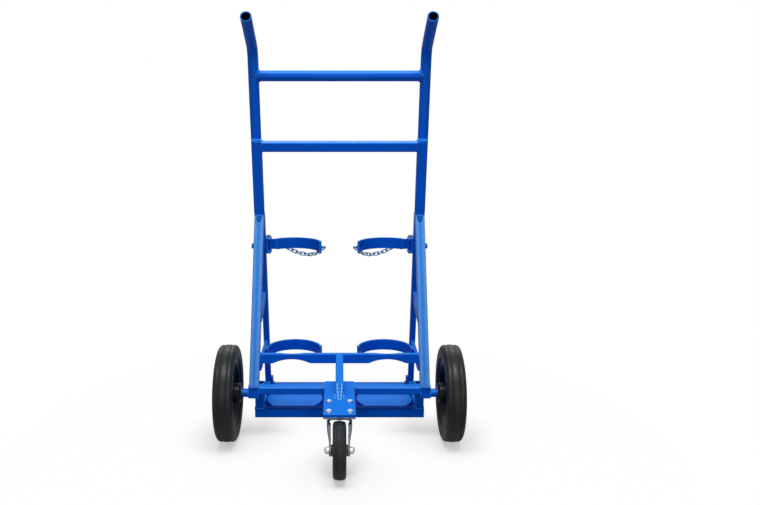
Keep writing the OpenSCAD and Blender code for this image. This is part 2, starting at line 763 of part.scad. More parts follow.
module castor_fork() {
    color(zinc) on_swivel() difference() {
        union() {
            translate([0, 0, crown_z]) cylinder(r = crown_r, h = crown_t);
            for (s = [0, 1]) mirror([s, 0, 0]) fork_leg();
        }
        translate([0, 0, crown_z - 1]) cylinder(d = kingpin_d + 2 * run_gap, h = crown_t + 2);
        translate([-fork_x, slot_front_y + swivel_y - castor_d, crown_z - 1]) cube([2 * fork_x, castor_d, crown_t + 2]);
        translate([-plate_w, -trail, castor_z]) rotate([0, 90, 0])
            cylinder(d = castor_bolt_d + 2 * run_gap, h = 2 * plate_w);
    }
}
module castor_axle_bolt() {
    dome_h = 7;
    face = fork_x + fork_t;
    color(zinc) on_swivel() translate([0, -trail, castor_z]) {
        rotate([0, 90, 0]) translate([0, 0, -face]) cylinder(d = castor_bolt_d, h = 2 * face);
        for (s = [0, 1]) mirror([s, 0, 0]) rotate([0, 90, 0]) translate([0, 0, face])
            rotate_extrude() polygon([[0, 0], [dome_r, 0], [dome_r, 3], [dome_r - 2, dome_h - 1.5],
                [dome_r - 4.5, dome_h], [0, dome_h]]);
    }
}
module castor_rim() {
    r = castor_rim_d / 2;
    w = castor_w - 4;
    hub = castor_w / 2 + fork_gap;
    color(black) on_swivel() translate([0, -trail, castor_z]) rotate([0, 90, 0])
        rotate_extrude() polygon([
            [castor_bolt_d / 2 + run_gap, -hub], [13, -hub], [15, -6], [r - 10, -6], [r - 7, -w / 2], [r, -w / 2],
            [r, w / 2], [r - 7, w / 2], [r - 10, 6], [15, 6], [13, hub], [castor_bolt_d / 2 + run_gap, hub]
        ]);
}
module castor_tyre() {
    r = castor_d / 2;
    w = castor_w;
    inner = castor_rim_d / 2 + run_gap;
    color(rubber) on_swivel() translate([0, -trail, castor_z]) rotate([0, 90, 0])
        rotate_extrude($fn = 128) polygon([
            [inner, -w / 2 + 3], [inner + 5, -w / 2], [r - 6, -w / 2], [r - 1.5, -w / 2 + 4], [r, -w / 6],
            [r, w / 6], [r - 1.5, w / 2 - 4], [r - 6, w / 2], [inner + 5, w / 2], [inner, w / 2 - 3]
        ]);
}

handle_tube(-1);  // handle_tube_left
handle_tube(1);  // handle_tube_right
top_crossbar();
mid_crossbar();
upright(-1);  // upright_left
upright(1);  // upright_right
upright_caps();
strut(-1);  // strut_left
strut(1);  // strut_right
rear_leg(-1);  // rear_leg_left
rear_leg(1);  // rear_leg_right
upper_tie(-1);  // upper_tie_left
upper_tie(1);  // upper_tie_right
side_brace(-1);  // side_brace_left
side_brace(1);  // side_brace_right
lower_tie(-1);  // lower_tie_left
lower_tie(1);  // lower_tie_right
lower_cross_plate();
centre_strut();
castor_mount_plate();
axle_beam();
axle_block(-1);  // axle_block_left
axle_block(1);  // axle_block_right
axle_stub(-1);  // axle_stub_left
axle_stub(1);  // axle_stub_right
drop_posts();
tray_near_bar();
tray_far_bar();
tray_side_bars();
base_disc(-1);  // base_disc_left
base_disc(1);  // base_disc_right
foot_lugs();
lower_hoop(-1);  // lower_hoop_left
lower_hoop(1);  // lower_hoop_right
hinge_bracket(-1);  // hinge_bracket_left
hinge_bracket(1);  // hinge_bracket_right
hinge_pins();
upper_hoop(-1);  // upper_hoop_left
upper_hoop(1);  // upper_hoop_right
chain(-1);  // chain_left
chain(1);  // chain_right
tyre(-1);  // tyre_left
tyre(1);  // tyre_right
rim(-1);  // rim_left
rim(1);  // rim_right
hub_bush(-1);  // hub_bush_left
hub_bush(1);  // hub_bush_right
rim_bolt_set(-1);  // rim_bolts_left
rim_bolt_set(1);  // rim_bolts_right
axle_washers();
axle_end_caps();
castor_top_plate();
castor_kingpin();
castor_bolts();
castor_nuts();
swivel_race();
castor_fork();
castor_axle_bolt();
castor_rim();
castor_tyre();
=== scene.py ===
"""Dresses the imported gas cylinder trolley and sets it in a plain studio.

The CAD nodes keep their shapes and get the finishes of the real trolley: blue powder coat, zinc
plate, moulded rubber and black enamel. Weld beads, the tray's pan, the rounded tyres and the
pressed castor fork are modelled here. Sizes are in millimetres until a mesh is made, with X to
the operator's right, Y from the axle line away from the operator, and Z up from the floor.
"""

from __future__ import annotations

import json
import logging
import math
from dataclasses import dataclass
from enum import Enum
from typing import Iterable, Sequence, Union

import bmesh
import bpy
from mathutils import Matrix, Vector

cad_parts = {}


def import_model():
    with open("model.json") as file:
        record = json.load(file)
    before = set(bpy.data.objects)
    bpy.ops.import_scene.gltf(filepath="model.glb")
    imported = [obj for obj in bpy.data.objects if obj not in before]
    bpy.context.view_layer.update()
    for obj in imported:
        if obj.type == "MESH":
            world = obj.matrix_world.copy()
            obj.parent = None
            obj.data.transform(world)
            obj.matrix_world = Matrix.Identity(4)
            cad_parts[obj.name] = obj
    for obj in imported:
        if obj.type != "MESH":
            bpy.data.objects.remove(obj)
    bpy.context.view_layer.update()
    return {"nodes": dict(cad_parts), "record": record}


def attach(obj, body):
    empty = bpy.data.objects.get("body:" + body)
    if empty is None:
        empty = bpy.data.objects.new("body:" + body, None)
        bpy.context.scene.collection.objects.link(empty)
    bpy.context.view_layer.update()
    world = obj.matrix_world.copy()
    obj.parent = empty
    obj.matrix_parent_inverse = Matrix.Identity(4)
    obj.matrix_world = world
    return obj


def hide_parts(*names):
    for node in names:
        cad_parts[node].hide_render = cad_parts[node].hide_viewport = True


LOG = logging.getLogger("trolley")

MM = 0.001
# Y of the axle line in the shared frame, in millimetres.
AXLE_Y = 17.5
IMAGE_WIDTH = 760
X_AXIS, Y_AXIS, Z_AXIS = Vector((1, 0, 0)), Vector((0, 1, 0)), Vector((0, 0, 1))

WHITE = (1.0, 1.0, 1.0, 1.0)
# Share of finer octaves in a pattern, and the range that most of its values lie in.
NOISE_ROUGHNESS = 0.55
NOISE_LOW, NOISE_HIGH = 0.3, 0.7
# Dot product of the true and the rounded normal, on a flat face and on an edge.
DOT_FLAT, DOT_EDGE = 0.996, 0.88
# Colour sockets of the mix node: share, first colour, second colour and result.
SHARE, FIRST, SECOND, MIXED = 0, 6, 7, 2

Point = tuple[float, float, float]
Pair = tuple[float, float]
Tree = bpy.types.NodeTree
Socket = bpy.types.NodeSocket
Shape = bmesh.types.BMesh
Value = Union[float, int, str, tuple, list, Socket]


class Body(str, Enum):
    """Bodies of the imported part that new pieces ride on."""

    FRAME = "frame"
    LEFT_WHEEL = "left_wheel"
    RIGHT_WHEEL = "right_wheel"
    CASTOR_FORK = "castor_fork_body"
    CASTOR_WHEEL = "castor_wheel"


class Side(Enum):
    """Left and right half of the trolley, as the sign of X."""

    LEFT = -1
    RIGHT = 1

    @property
    def word(self) -> str:
        """Name of the side as it stands in node names."""
        return self.name.lower()


def at(x: float, y: float, z: float) -> Vector:
    """Point of the trolley in metres, from millimetres measured from the axle line."""
    return Vector((x, y + AXLE_Y, z)) * MM


def srgb(code: str) -> tuple[float, float, float, float]:
    """Turns an sRGB hex colour into linear values.

    Args:
        code: Colour such as "#0E5FCB".

    Returns:
        Linear red, green, blue and an alpha of 1.
    """
    parts = [int(code[i : i + 2], 16) / 255 for i in (1, 3, 5)]
    linear = [c / 12.92 if c <= 0.04045 else ((c + 0.055) / 1.055) ** 2.4 for c in parts]
    return (linear[0], linear[1], linear[2], 1.0)


def per_metre(size_mm: float) -> float:
    """Scale of a texture whose features are about this many millimetres wide."""
    return 1000.0 / size_mm


def turns(steps: int) -> list[float]:
    """Evenly spaced angles of a full turn, in radians."""
    return [2 * math.pi * k / steps for k in range(steps)]


def add_node(
    tree: Tree, kind: str, inputs: dict[Union[str, int], Value] | None = None, **settings: Value
) -> bpy.types.Node:
    """Adds a node with its settings, and links or sets its inputs.

    Args:
        tree: Node tree to add to.
        kind: Blender's name of the node type.
        inputs: Values or output sockets by input name or number.
        settings: Attributes of the node.

    Returns:
        The new node.
    """
    node = tree.nodes.new(kind)
    for name, value in settings.items():
        setattr(node, name, value)
    for key, value in (inputs or {}).items():
        if isinstance(value, Socket):
            tree.links.new(value, node.inputs[key])
        else:
            node.inputs[key].default_value = value
    return node


def seen_rays(tree: Tree, mirror_share: float = 0.6) -> Socket:
    """Share of the white background that a ray gets.

    Args:
        tree: Node tree to add to.
        mirror_share: Share that reflections get.

    Returns:
        A socket that is 1 for the camera and through glass, less in reflections and else 0.
    """
    ray = add_node(tree, "ShaderNodeLightPath").outputs
    mirrored = add_node(
        tree, "ShaderNodeMath", {0: ray["Is Glossy Ray"], 1: mirror_share}, operation="MULTIPLY"
    )
    direct = add_node(
        tree,
        "ShaderNodeMath",
        {0: ray["Is Camera Ray"], 1: ray["Is Transmission Ray"]},
        operation="MAXIMUM",
    )
    both = add_node(
        tree, "ShaderNodeMath", {0: direct.outputs[0], 1: mirrored.outputs[0]}, operation="MAXIMUM"
    )
    return both.outputs[0]


# Patterns


@dataclass(frozen=True)
class Pattern:
    """Soft noise of a real size that is fixed to the object."""

    size_mm: float
    detail: float

    def value(self, tree: Tree) -> Socket:
        """Adds the bare pattern.

        Args:
            tree: Node tree to add to.

        Returns:
            The pattern's value.
        """
        place = add_node(tree, "ShaderNodeTexCoord").outputs["Object"]
        scale = per_metre(self.size_mm)
        noise = add_node(
            tree,
            "ShaderNodeTexNoise",
            {"Vector": place, "Scale": scale, "Detail": self.detail, "Roughness": NOISE_ROUGHNESS},
        )
        return noise.outputs["Fac"]


@dataclass(frozen=True)
class Clouds(Pattern):
    """Clouds that move a value between two limits."""

    low: float = 0.0
    high: float = 1.0

    def add(self, tree: Tree) -> Socket:
        """Adds the clouds.

        Args:
            tree: Node tree to add to.

        Returns:
            The moved value.
        """
        ramp = add_node(
            tree,
            "ShaderNodeMapRange",
            {
                "Value": self.value(tree),
                "From Min": NOISE_LOW,
                "From Max": NOISE_HIGH,
                "To Min": self.low,
                "To Max": self.high,
            },
        )
        return ramp.outputs["Result"]


@dataclass(frozen=True)
class Grain(Pattern):
    """Fine unevenness of a surface."""

    strength: float
    depth_mm: float

    def bend(self, tree: Tree, normal: Socket | None = None) -> Socket:
        """Bends a normal by the grain.

        Args:
            tree: Node tree to add to.
            normal: Normal to bend; by default that of the mesh.

        Returns:
            The bent normal.
        """
        inputs = {
            "Height": self.value(tree),
            "Strength": self.strength,
            "Distance": self.depth_mm * MM,
        }
        if normal is not None:
            inputs["Normal"] = normal
        return add_node(tree, "ShaderNodeBump", inputs).outputs["Normal"]


# Finishes


@dataclass(frozen=True)
class Finish:
    """A material's name and the colours that its surface moves between."""

    name: str
    base: str
    shade: str

    def make(self) -> bpy.types.Material:
        """Builds the material.

        Returns:
            The finished material.
        """
        material = bpy.data.materials.new(self.name)
        material.use_nodes = True
        tree = material.node_tree
        tree.nodes.clear()
        shader = self.surface(tree)
        add_node(tree, "ShaderNodeOutputMaterial", {"Surface": shader.outputs[0]})
        material.diffuse_color = srgb(self.base)
        return material

    def surface(self, tree: Tree) -> bpy.types.Node:
        """Adds the shader; each finish has its own."""
        raise NotImplementedError

    def mottled(self, tree: Tree, clouds: Clouds) -> Socket:
        """Adds the base colour with clouds of the shade.

        Args:
            tree: Node tree to add to.
            clouds: Share of the shade.

        Returns:
            The colour.
        """
        pair = {SHARE: clouds.add(tree), FIRST: srgb(self.base), SECOND: srgb(self.shade)}
        return add_node(tree, "ShaderNodeMix", pair, data_type="RGBA").outputs[MIXED]

    def edge(self, tree: Tree, radius_mm: float) -> tuple[Socket, Socket]:
        """Finds the outer edges of a shape from its rounded normal.

        Args:
            tree: Node tree to add to.
            radius_mm: Radius that the edges are rounded to.

        Returns:
            The rounded normal and a value that rises towards the edges.
        """
        rounded = add_node(tree, "ShaderNodeBevel", {"Radius": radius_mm * MM}, samples=8)
        normal = rounded.outputs["Normal"]
        true = add_node(tree, "ShaderNodeNewGeometry").outputs["Normal"]
        dot = add_node(tree, "ShaderNodeVectorMath", {0: normal, 1: true}, operation="DOT_PRODUCT")
        near = add_node(
            tree,
            "ShaderNodeMapRange",
            {"Value": dot.outputs["Value"], "From Min": DOT_FLAT, "From Max": DOT_EDGE},
        )
        return normal, near.outputs["Result"]


@dataclass(frozen=True)
class PowderCoat(Finish):
    """Polyester powder coat baked on steel.

    It gives a satin blue with fine orange peel, with painted highlights along the edges and paler
    painted tones on faces that look up, as if lit from above.
    """

    base: str = "#0257D2"
    shade: str = "#0250C6"
    # Painted highlight along the edges.
    edge_highlight: str = "#3D97F7"
    # Painted tones of faces that look up: the first where they slope up, the second where they look
    # straight up.
    upward_painted_tone: str = "#3F90EC"
    level: str = "#0872DA"
    edge_mm: float = 3.6
    gloss: float = 0.04
    ior: float = 1.5
    # Ranges of the normal's Z over which the two painted tones come in; cover is their largest
    # share.
    upward_tone_z: Pair = (0.04, 0.28)
    flat: Pair = (0.90, 0.99)
    cover: float = 0.92
    cloud: Clouds = Clouds(90.0, 3.0, 0.0, 0.5)
    edge_highlight_breaks: Clouds = Clouds(14.0, 4.0, 0.5, 0.9)
    rough: Clouds = Clouds(35.0, 3.0, 0.28, 0.38)
    # Real orange peel is about 1 mm across; it is drawn coarser so that it shows in the render.
    peel: Grain = Grain(2.4, 2.0, 0.05, 0.5)

    def surface(self, tree: Tree) -> bpy.types.Node:
        """Adds the shader of the powder coat.

        Args:
            tree: Node tree to add to.

        Returns:
            The shader.
        """
        normal, near_edge = self.edge(tree, self.edge_mm)
        colour = self.mottled(tree, self.cloud)
        # Painted light: faces that look up get paler tones, as if lit from above, with another tone
        # on the flattest.
        true = add_node(tree, "ShaderNodeNewGeometry").outputs["Normal"]
        up = add_node(tree, "ShaderNodeSeparateXYZ", {0: true}).outputs["Z"]
        layers = []
        for (low, high), tone in ((self.upward_tone_z, self.upward_painted_tone), (self.flat, self.level)):
            upward = add_node(
                tree,
                "ShaderNodeMapRange",
                {"Value": up, "From Min": low, "From Max": high, "To Max": self.cover},
                interpolation_type="SMOOTHSTEP",
            )
            layers.append((upward.outputs["Result"], tone))
        # Painted highlight along the edges, broken up by clouds.
        line = {0: near_edge, 1: self.edge_highlight_breaks.add(tree)}
        edge_highlight_share = add_node(tree, "ShaderNodeMath", line, operation="MULTIPLY").outputs[0]
        layers.append((edge_highlight_share, self.edge_highlight))
        for share, tone in layers:
            pair = {SHARE: share, FIRST: colour, SECOND: srgb(tone)}
            colour = add_node(tree, "ShaderNodeMix", pair, data_type="RGBA").outputs[MIXED]
        return add_node(
            tree,
            "ShaderNodeBsdfPrincipled",
            {
                "Base Color": colour,
                "Roughness": self.rough.add(tree),
                "IOR": self.ior,
                "Specular IOR Level": self.gloss,
                "Normal": self.peel.bend(tree, normal),
            },
        )


@dataclass(frozen=True)
class ZincPlate(Finish):
    """Zinc plate on pressed steel, or bare turned steel.

    It gives a grey metal with soft blooms and fine handling marks, glossier on worn edges.
    """

    edge_mm: float = 0.6
    wear: float = 0.08
    bloom: Clouds = Clouds(16.0, 4.0)
    rough: Clouds = Clouds(7.0, 4.0, 0.24, 0.42)
    marks: Grain = Grain(1.5, 3.0, 0.12, 0.3)

    def surface(self, tree: Tree) -> bpy.types.Node:
        """Adds the shader of the metal.

        Args:
            tree: Node tree to add to.

        Returns:
            The shader.
        """
        normal, near_edge = self.edge(tree, self.edge_mm)
        worn = add_node(tree, "ShaderNodeMath", {0: near_edge, 1: self.wear}, operation="MULTIPLY")
        less = {0: self.rough.add(tree), 1: worn.outputs[0]}
        roughness = add_node(tree, "ShaderNodeMath", less, operation="SUBTRACT")
        return add_node(
            tree,
            "ShaderNodeBsdfPrincipled",
            {
                "Base Color": self.mottled(tree, self.bloom),
                "Metallic": 1.0,
                "Roughness": roughness.outputs[0],
                "Normal": self.marks.bend(tree, normal),
            },
        )


@dataclass(frozen=True)
class MouldedRubber(Finish):
    """Solid black rubber from a mould: dull, a little greyed by bloom, with a fine grain."""

    # Pale streaks round the tread, partly scuffs and partly painted highlight.
    streak_and_sheen: str = "#2E2F33"
    streak_mm: float = 4.0
    run_mm: float = 70.0
    streak_detail: float = 2.0
    streak_most: float = 0.9
    gloss: float = 0.26
    ior: float = 1.52
    bloom: Clouds = Clouds(22.0, 5.0)
    rough: Clouds = Clouds(9.0, 3.0, 0.33, 0.46)
    grain: Grain = Grain(1.8, 4.0, 0.22, 0.4)

    def surface(self, tree: Tree) -> bpy.types.Node:
        """Adds the shader of the rubber.

        Args:
            tree: Node tree to add to.

        Returns:
            The shader.
        """
        # Pale streaks round the tread, narrow along the axle and long round it: scuffs from
        # rolling, and partly painted highlight.
        place = add_node(tree, "ShaderNodeTexCoord").outputs["Object"]
        scale = tuple(per_metre(size) for size in (self.streak_mm, self.run_mm, self.run_mm))
        drawn = add_node(tree, "ShaderNodeMapping", {"Vector": place, "Scale": scale})
        streaks = add_node(
            tree,
            "ShaderNodeTexNoise",
            {"Vector": drawn.outputs["Vector"], "Scale": 1.0, "Detail": self.streak_detail},
        )
        share = add_node(
            tree,
            "ShaderNodeMapRange",
            {
                "Value": streaks.outputs["Fac"],
                "From Min": NOISE_LOW,
                "From Max": NOISE_HIGH,
                "To Max": self.streak_most,
            },
        )
        pair = {
            SHARE: share.outputs["Result"],
            FIRST: self.mottled(tree, self.bloom),
            SECOND: srgb(self.streak_and_sheen),
        }
        colour = add_node(tree, "ShaderNodeMix", pair, data_type="RGBA").outputs[MIXED]
        return add_node(
            tree,
            "ShaderNodeBsdfPrincipled",
            {
                "Base Color": colour,
                "Roughness": self.rough.add(tree),
                "IOR": self.ior,
                "Specular IOR Level": self.gloss,
                "Normal": self.grain.bend(tree),
            },
        )


@dataclass(frozen=True)
class BlackEnamel(Finish):
    """Smooth black skin: stoved enamel, and with other colours moulded nylon or mill scale.

    It is deep and fairly glossy, with slight flow marks and a painted highlight, a lighter tone,
    along the edges.
    """

    edge_mm: float = 1.0
    gloss: float = 0.25
    ior: float = 1.5
    rough: Clouds = Clouds(20.0, 3.0, 0.26, 0.38)
    flow: Grain = Grain(6.0, 2.0, 0.08, 0.5)

    def surface(self, tree: Tree) -> bpy.types.Node:
        """Adds the shader of the black skin.

        Args:
            tree: Node tree to add to.

        Returns:
            The shader.
        """
        normal, near_edge = self.edge(tree, self.edge_mm)
        # Painted highlight: the edges move to the lighter tone.
        pair = {SHARE: near_edge, FIRST: srgb(self.base), SECOND: srgb(self.shade)}
        colour = add_node(tree, "ShaderNodeMix", pair, data_type="RGBA").outputs[MIXED]
        return add_node(
            tree,
            "ShaderNodeBsdfPrincipled",
            {
                "Base Color": colour,
                "Roughness": self.rough.add(tree),
                "IOR": self.ior,
                "Specular IOR Level": self.gloss,
                "Normal": self.flow.bend(tree, normal),
            },
        )


@dataclass(frozen=True)
class StudioPaper(Finish):
    """Matt white paper under the trolley, which runs out to plain white away from it."""

    bounce: str = "#8C8C8C"
    contact_mm: Pair = (20.0, 210.0)
    contact_white: Pair = (0.45, 0.97)
    open_mm: Pair = (330.0, 900.0)
    open_white: Pair = (0.0, 1.0)
    mirror_share: float = 0.2
    gloss: float = 0.1
    roughness: float = 0.8
    fibre: Clouds = Clouds(40.0, 2.0)
    wheels: tuple[Point, ...] = ((-289.0, 0.0, 0.0), (289.0, 0.0, 0.0), (0.0, -217.0, 0.0))

    def surface(self, tree: Tree) -> bpy.types.Node:
        """Adds the shader: shadows show where the wheels stand, and further out it is white.

        Args:
            tree: Node tree to add to.

        Returns:
            The shader.
        """
        # Output 1 of the vector math node is its plain value.
        place = add_node(tree, "ShaderNodeNewGeometry").outputs["Position"]
        closest = None
        for wheel in self.wheels:
            ends = {0: place, 1: at(*wheel)}
            gap = add_node(tree, "ShaderNodeVectorMath", ends, operation="DISTANCE").outputs[1]
            if closest is not None:
                both = {0: closest, 1: gap}
                gap = add_node(tree, "ShaderNodeMath", both, operation="MINIMUM").outputs[0]
            closest = gap
        far = add_node(tree, "ShaderNodeVectorMath", {0: place}, operation="LENGTH").outputs[1]
        shares = []
        for distance, reach, share in (
            (closest, self.contact_mm, self.contact_white),
            (far, self.open_mm, self.open_white),
        ):
            rise = add_node(
                tree,
                "ShaderNodeMapRange",
                {
                    "Value": distance,
                    "From Min": reach[0] * MM,
                    "From Max": reach[1] * MM,
                    "To Min": share[0],
                    "To Max": share[1],
                },
                interpolation_type="SMOOTHSTEP",
            )
            shares.append(rise.outputs["Result"])
        fade = add_node(tree, "ShaderNodeMath", dict(enumerate(shares)), operation="MAXIMUM")
        seen = seen_rays(tree, self.mirror_share)
        lit = {0: fade.outputs[0], 1: seen}
        white = add_node(tree, "ShaderNodeMath", lit, operation="MULTIPLY")
        pair = {SHARE: seen, FIRST: srgb(self.bounce), SECOND: self.mottled(tree, self.fibre)}
        colour = add_node(tree, "ShaderNodeMix", pair, data_type="RGBA").outputs[MIXED]
        paper = add_node(
            tree,
            "ShaderNodeBsdfPrincipled",
            {"Base Color": colour, "Roughness": self.roughness, "Specular IOR Level": self.gloss},
        )
        glow = add_node(tree, "ShaderNodeEmission", {"Color": WHITE, "Strength": 1.0})
        return add_node(
            tree,
            "ShaderNodeMixShader",
            {0: white.outputs[0], 1: paper.outputs[0], 2: glow.outputs[0]},
        )


class Look(Enum):
    """Finishes of the trolley and its studio; a comment says what each gives the eye."""

    # Satin blue on bars and plates, with painted highlights on edges and paler painted tones on
    # faces that look up.
    PAINT = PowderCoat("blue_powder_coat")
    # A little glossier, with a painted highlight: a pale band along the upper side of a round tube.
    ROUND_TUBE = PowderCoat(
        "powder_coat_on_round_tube",
        "#025AD0",
        "#0252C4",
        upward_painted_tone="#2E86EA",
        level="#0C62D2",
        gloss=0.09,
        upward_tone_z=(0.30, 0.62),
        flat=(0.70, 0.96),
    )
    # Wide painted highlights on the rounded corners of the box section, and a paler painted tone on
    # its sloping faces.
    STRUT = PowderCoat(
        "powder_coat_on_strut", edge_highlight="#93C6FA", upward_painted_tone="#3688E6", edge_mm=12.0, gloss=0.02
    )
    # A less pale painted tone on the slope that looks up.
    CENTRE_STRUT = PowderCoat("powder_coat_on_centre_strut", upward_painted_tone="#1F7CDA")
    # Blue with hardly any reflection, low on the trolley.
    LOW_SHEEN = PowderCoat("low_sheen_powder_coat", gloss=0.01)
    # Painted shade: a dark tone on the bar's upper face.
    NEAR_BAR = PowderCoat(
        "powder_coat_with_painted_shade_on_near_bar", upward_painted_tone="#0340A4", level="#0340A4", gloss=0.01
    )
    # Even mid blue, a little darker than the paint, with only faint painted highlights on edges and
    # faces that look up.
    WELD = PowderCoat(
        "powder_coat_over_weld", "#0456BE", "#044EB4", "#0E62CC", "#0660C8", "#0660C8"
    )
    # Nearly navy: painted shade on the sheet under the discs.
    PAN = PowderCoat(
        "powder_coat_with_painted_shade_in_tray",
        "#02237C",
        "#021E70",
        "#0A45AA",
        "#022A8C",
        "#022A8C",
        gloss=0.01,
    )
    # Painted highlights: pale crests on coarse ripples.
    RIPPLES = PowderCoat(
        "powder_coat_on_weld_ripples", "#0E6AD8", "#0A5CC4", "#9CCBFA", "#7DBAF6", "#7DBAF6"
    )
    # Near black: mill scale inside the tube, darkened further as painted shade, so that an open
    # tube reads as hollow.
    BORE = BlackEnamel("mill_scale_and_painted_shade_in_tube", "#05070C", "#0C1018")
    # Mid grey metal with soft reflections.
    ZINC = ZincPlate("bright_zinc_plate", "#98A1A8", "#78828A")
    # The same metal a step darker.
    FORK = ZincPlate("zinc_plate_on_pressed_fork", "#7F8990", "#606A72")
    # Dark grey: painted shade on the washers at the hubs, which are also dull.
    WASHER = ZincPlate(
        "dull_zinc_washers_with_painted_shade", "#4A5056", "#3A4046", rough=Clouds(7.0, 4.0, 0.4, 0.6)
    )
    # Nearly white metal, which picks out bolts and nuts.
    FASTENER = ZincPlate("bright_zinc_fasteners", "#E6E9EB", "#CDD2D6")
    # Bluish metal, a little duller.
    CHAIN = ZincPlate(
        "blue_passivated_chain", "#74A8D0", "#4E86B2", rough=Clouds(7.0, 4.0, 0.3, 0.5)
    )
    # Neutral grey without the blue of zinc.
    TURNED_STEEL = ZincPlate(
        "turned_steel", "#8E8F92", "#77787B", rough=Clouds(7.0, 4.0, 0.28, 0.4)
    )
    # Deep black with faint grey streaks round the tread, partly scuffs and partly painted
    # highlight.
    TYRE = MouldedRubber("black_tyre_rubber", "#040405", "#0A0A0B", "#242528")
    # A greyer black with a finer grain.
    CASTOR = MouldedRubber(
        "castor_rubber", "#0C0C0E", "#19191B", grain=Grain(1.4, 4.0, 0.22, 0.4)
    )
    # Glossy black with a painted highlight: a pale line along pressed edges.
    RIM = BlackEnamel("black_stoved_enamel", "#05070C", "#3C465C")
    # Charcoal with a faint gloss.
    CORE = BlackEnamel("black_moulded_nylon", "#0C0D10", "#24252A")
    # White that keeps the wheels' shadows.
    PAPER = StudioPaper("white_studio_paper", "#F4F4F3", "#F0F0EF")


Materials = dict[Look, bpy.types.Material]

SLOT_LOOKS = {
    "blue_powder_coat": Look.PAINT,
    "zinc_plated_steel": Look.ZINC,
    "bush_steel": Look.TURNED_STEEL,
    "black_tyre_rubber": Look.TYRE,
    "black_rim": Look.RIM,
    "castor_rubber": Look.CASTOR,
    "castor_core": Look.CORE,
}
# Nodes whose finish differs from that of their slot.
NODE_LOOKS = {
    "chain_left": Look.CHAIN,
    "chain_right": Look.CHAIN,
    "castor_bolts": Look.FASTENER,
    "castor_nuts": Look.FASTENER,
    "castor_axle_bolt": Look.FASTENER,
    "axle_washers": Look.WASHER,
    "handle_tube_left": Look.ROUND_TUBE,
    "handle_tube_right": Look.ROUND_TUBE,
    "top_crossbar": Look.ROUND_TUBE,
    "axle_stub_left": Look.ROUND_TUBE,
    "axle_stub_right": Look.ROUND_TUBE,
    "strut_left": Look.STRUT,
    "strut_right": Look.STRUT,
    "centre_strut": Look.CENTRE_STRUT,
    "drop_posts": Look.LOW_SHEEN,
    "tray_side_bars": Look.LOW_SHEEN,
    "castor_mount_plate": Look.LOW_SHEEN,
    "tray_near_bar": Look.NEAR_BAR,
}


# Mesh building


def ring_skin(shape: Shape, rings: Sequence[Sequence[bmesh.types.BMVert]], closed: bool) -> None:
    """Joins rings of equal length with faces.

    Args:
        shape: Geometry to add to.
        rings: Rings of vertices, each a closed loop.
        closed: Whether the last ring meets the first; otherwise both ends are capped.
    """
    count = len(rings)
    for i in range(count if closed else count - 1):
        one, two = rings[i], rings[(i + 1) % count]
        for k in range(len(one)):
            j = (k + 1) % len(one)
            shape.faces.new((one[k], one[j], two[j], two[k]))
    if not closed:
        shape.faces.new(rings[0])
        shape.faces.new(rings[-1])


def stack(
    shape: Shape,
    rings: Sequence[Pair],
    base: Vector,
    axis: Vector,
    sides: int,
    hollow: bool = False,
) -> None:
    """Adds a solid made of rings along an axis.

    Args:
        shape: Geometry to add to.
        rings: Radius and distance along the axis of each ring, in millimetres.
        base: Start of the axis, in metres.
        axis: Direction of the axis.
        sides: Corners of each ring.
        hollow: Whether the last ring meets the first; otherwise both ends are capped.
    """
    along = axis.normalized()
    u = along.orthogonal().normalized()
    v = along.cross(u)
    loops = [
        [
            shape.verts.new(base + (along * h + (u * math.cos(a) + v * math.sin(a)) * r) * MM)
            for a in turns(sides)
        ]
        for r, h in rings
    ]
    ring_skin(shape, loops, hollow)


def lathe(profile: Sequence[Pair], centre: Vector, side: int, segments: int) -> Shape:
    """Turns a closed profile about a line along X.

    Args:
        profile: Points as radius and distance along X from the centre, in millimetres.
        centre: Middle of the turned piece, in metres.
        side: 1 to draw X outward to the right, -1 to the left.
        segments: Steps round the axis.

    Returns:
        The turned geometry.
    """
    shape = bmesh.new()
    loops = [
        [
            shape.verts.new(centre + Vector((side * u, r * math.cos(a), r * math.sin(a))) * MM)
            for r, u in profile
        ]
        for a in turns(segments)
    ]
    ring_skin(shape, loops, True)
    return shape


def resample(path: Sequence[Vector], step: float, closed: bool) -> list[Vector]:
    """Spaces points evenly along a line.

    Args:
        path: Corner points, in metres.
        step: Wanted spacing, in metres.
        closed: Whether the line returns to its start.

    Returns:
        Evenly spaced points.
    """
    points = list(path) + ([path[0]] if closed else [])
    runs = [0.0]
    for a, b in zip(points, points[1:]):
        runs.append(runs[-1] + (b - a).length)
    count = max(4, round(runs[-1] / step))
    result, i = [], 0
    for k in range(count if closed else count + 1):
        s = runs[-1] * k / count
        while i < len(runs) - 2 and runs[i + 1] < s:
            i += 1
        length = max(runs[i + 1] - runs[i], 1e-9)
        result.append(points[i].lerp(points[i + 1], (s - runs[i]) / length))
    return result


def rectangle(
    centre: Vector, u: Vector, v: Vector, half_u: float, half_v: float, corner: float = 3.0
) -> list[Vector]:
    """Points of a rectangle with round corners.

    Args:
        centre: Middle of the rectangle, in metres.
        u: First direction.
        v: Second direction.
        half_u: Half width along u, in millimetres.
        half_v: Half width along v, in millimetres.
        corner: Radius of the corners, in millimetres.

    Returns:
        Points round the rectangle, in metres.
    """
    points = []
    for quarter, (su, sv) in enumerate(((1, 1), (-1, 1), (-1, -1), (1, -1))):
        for k in range(5):
            a = math.pi / 2 * (quarter + k / 4)
            points.append(
                centre
                + u * (su * (half_u - corner) + corner * math.cos(a)) * MM
                + v * (sv * (half_v - corner) + corner * math.sin(a)) * MM
            )
    return points


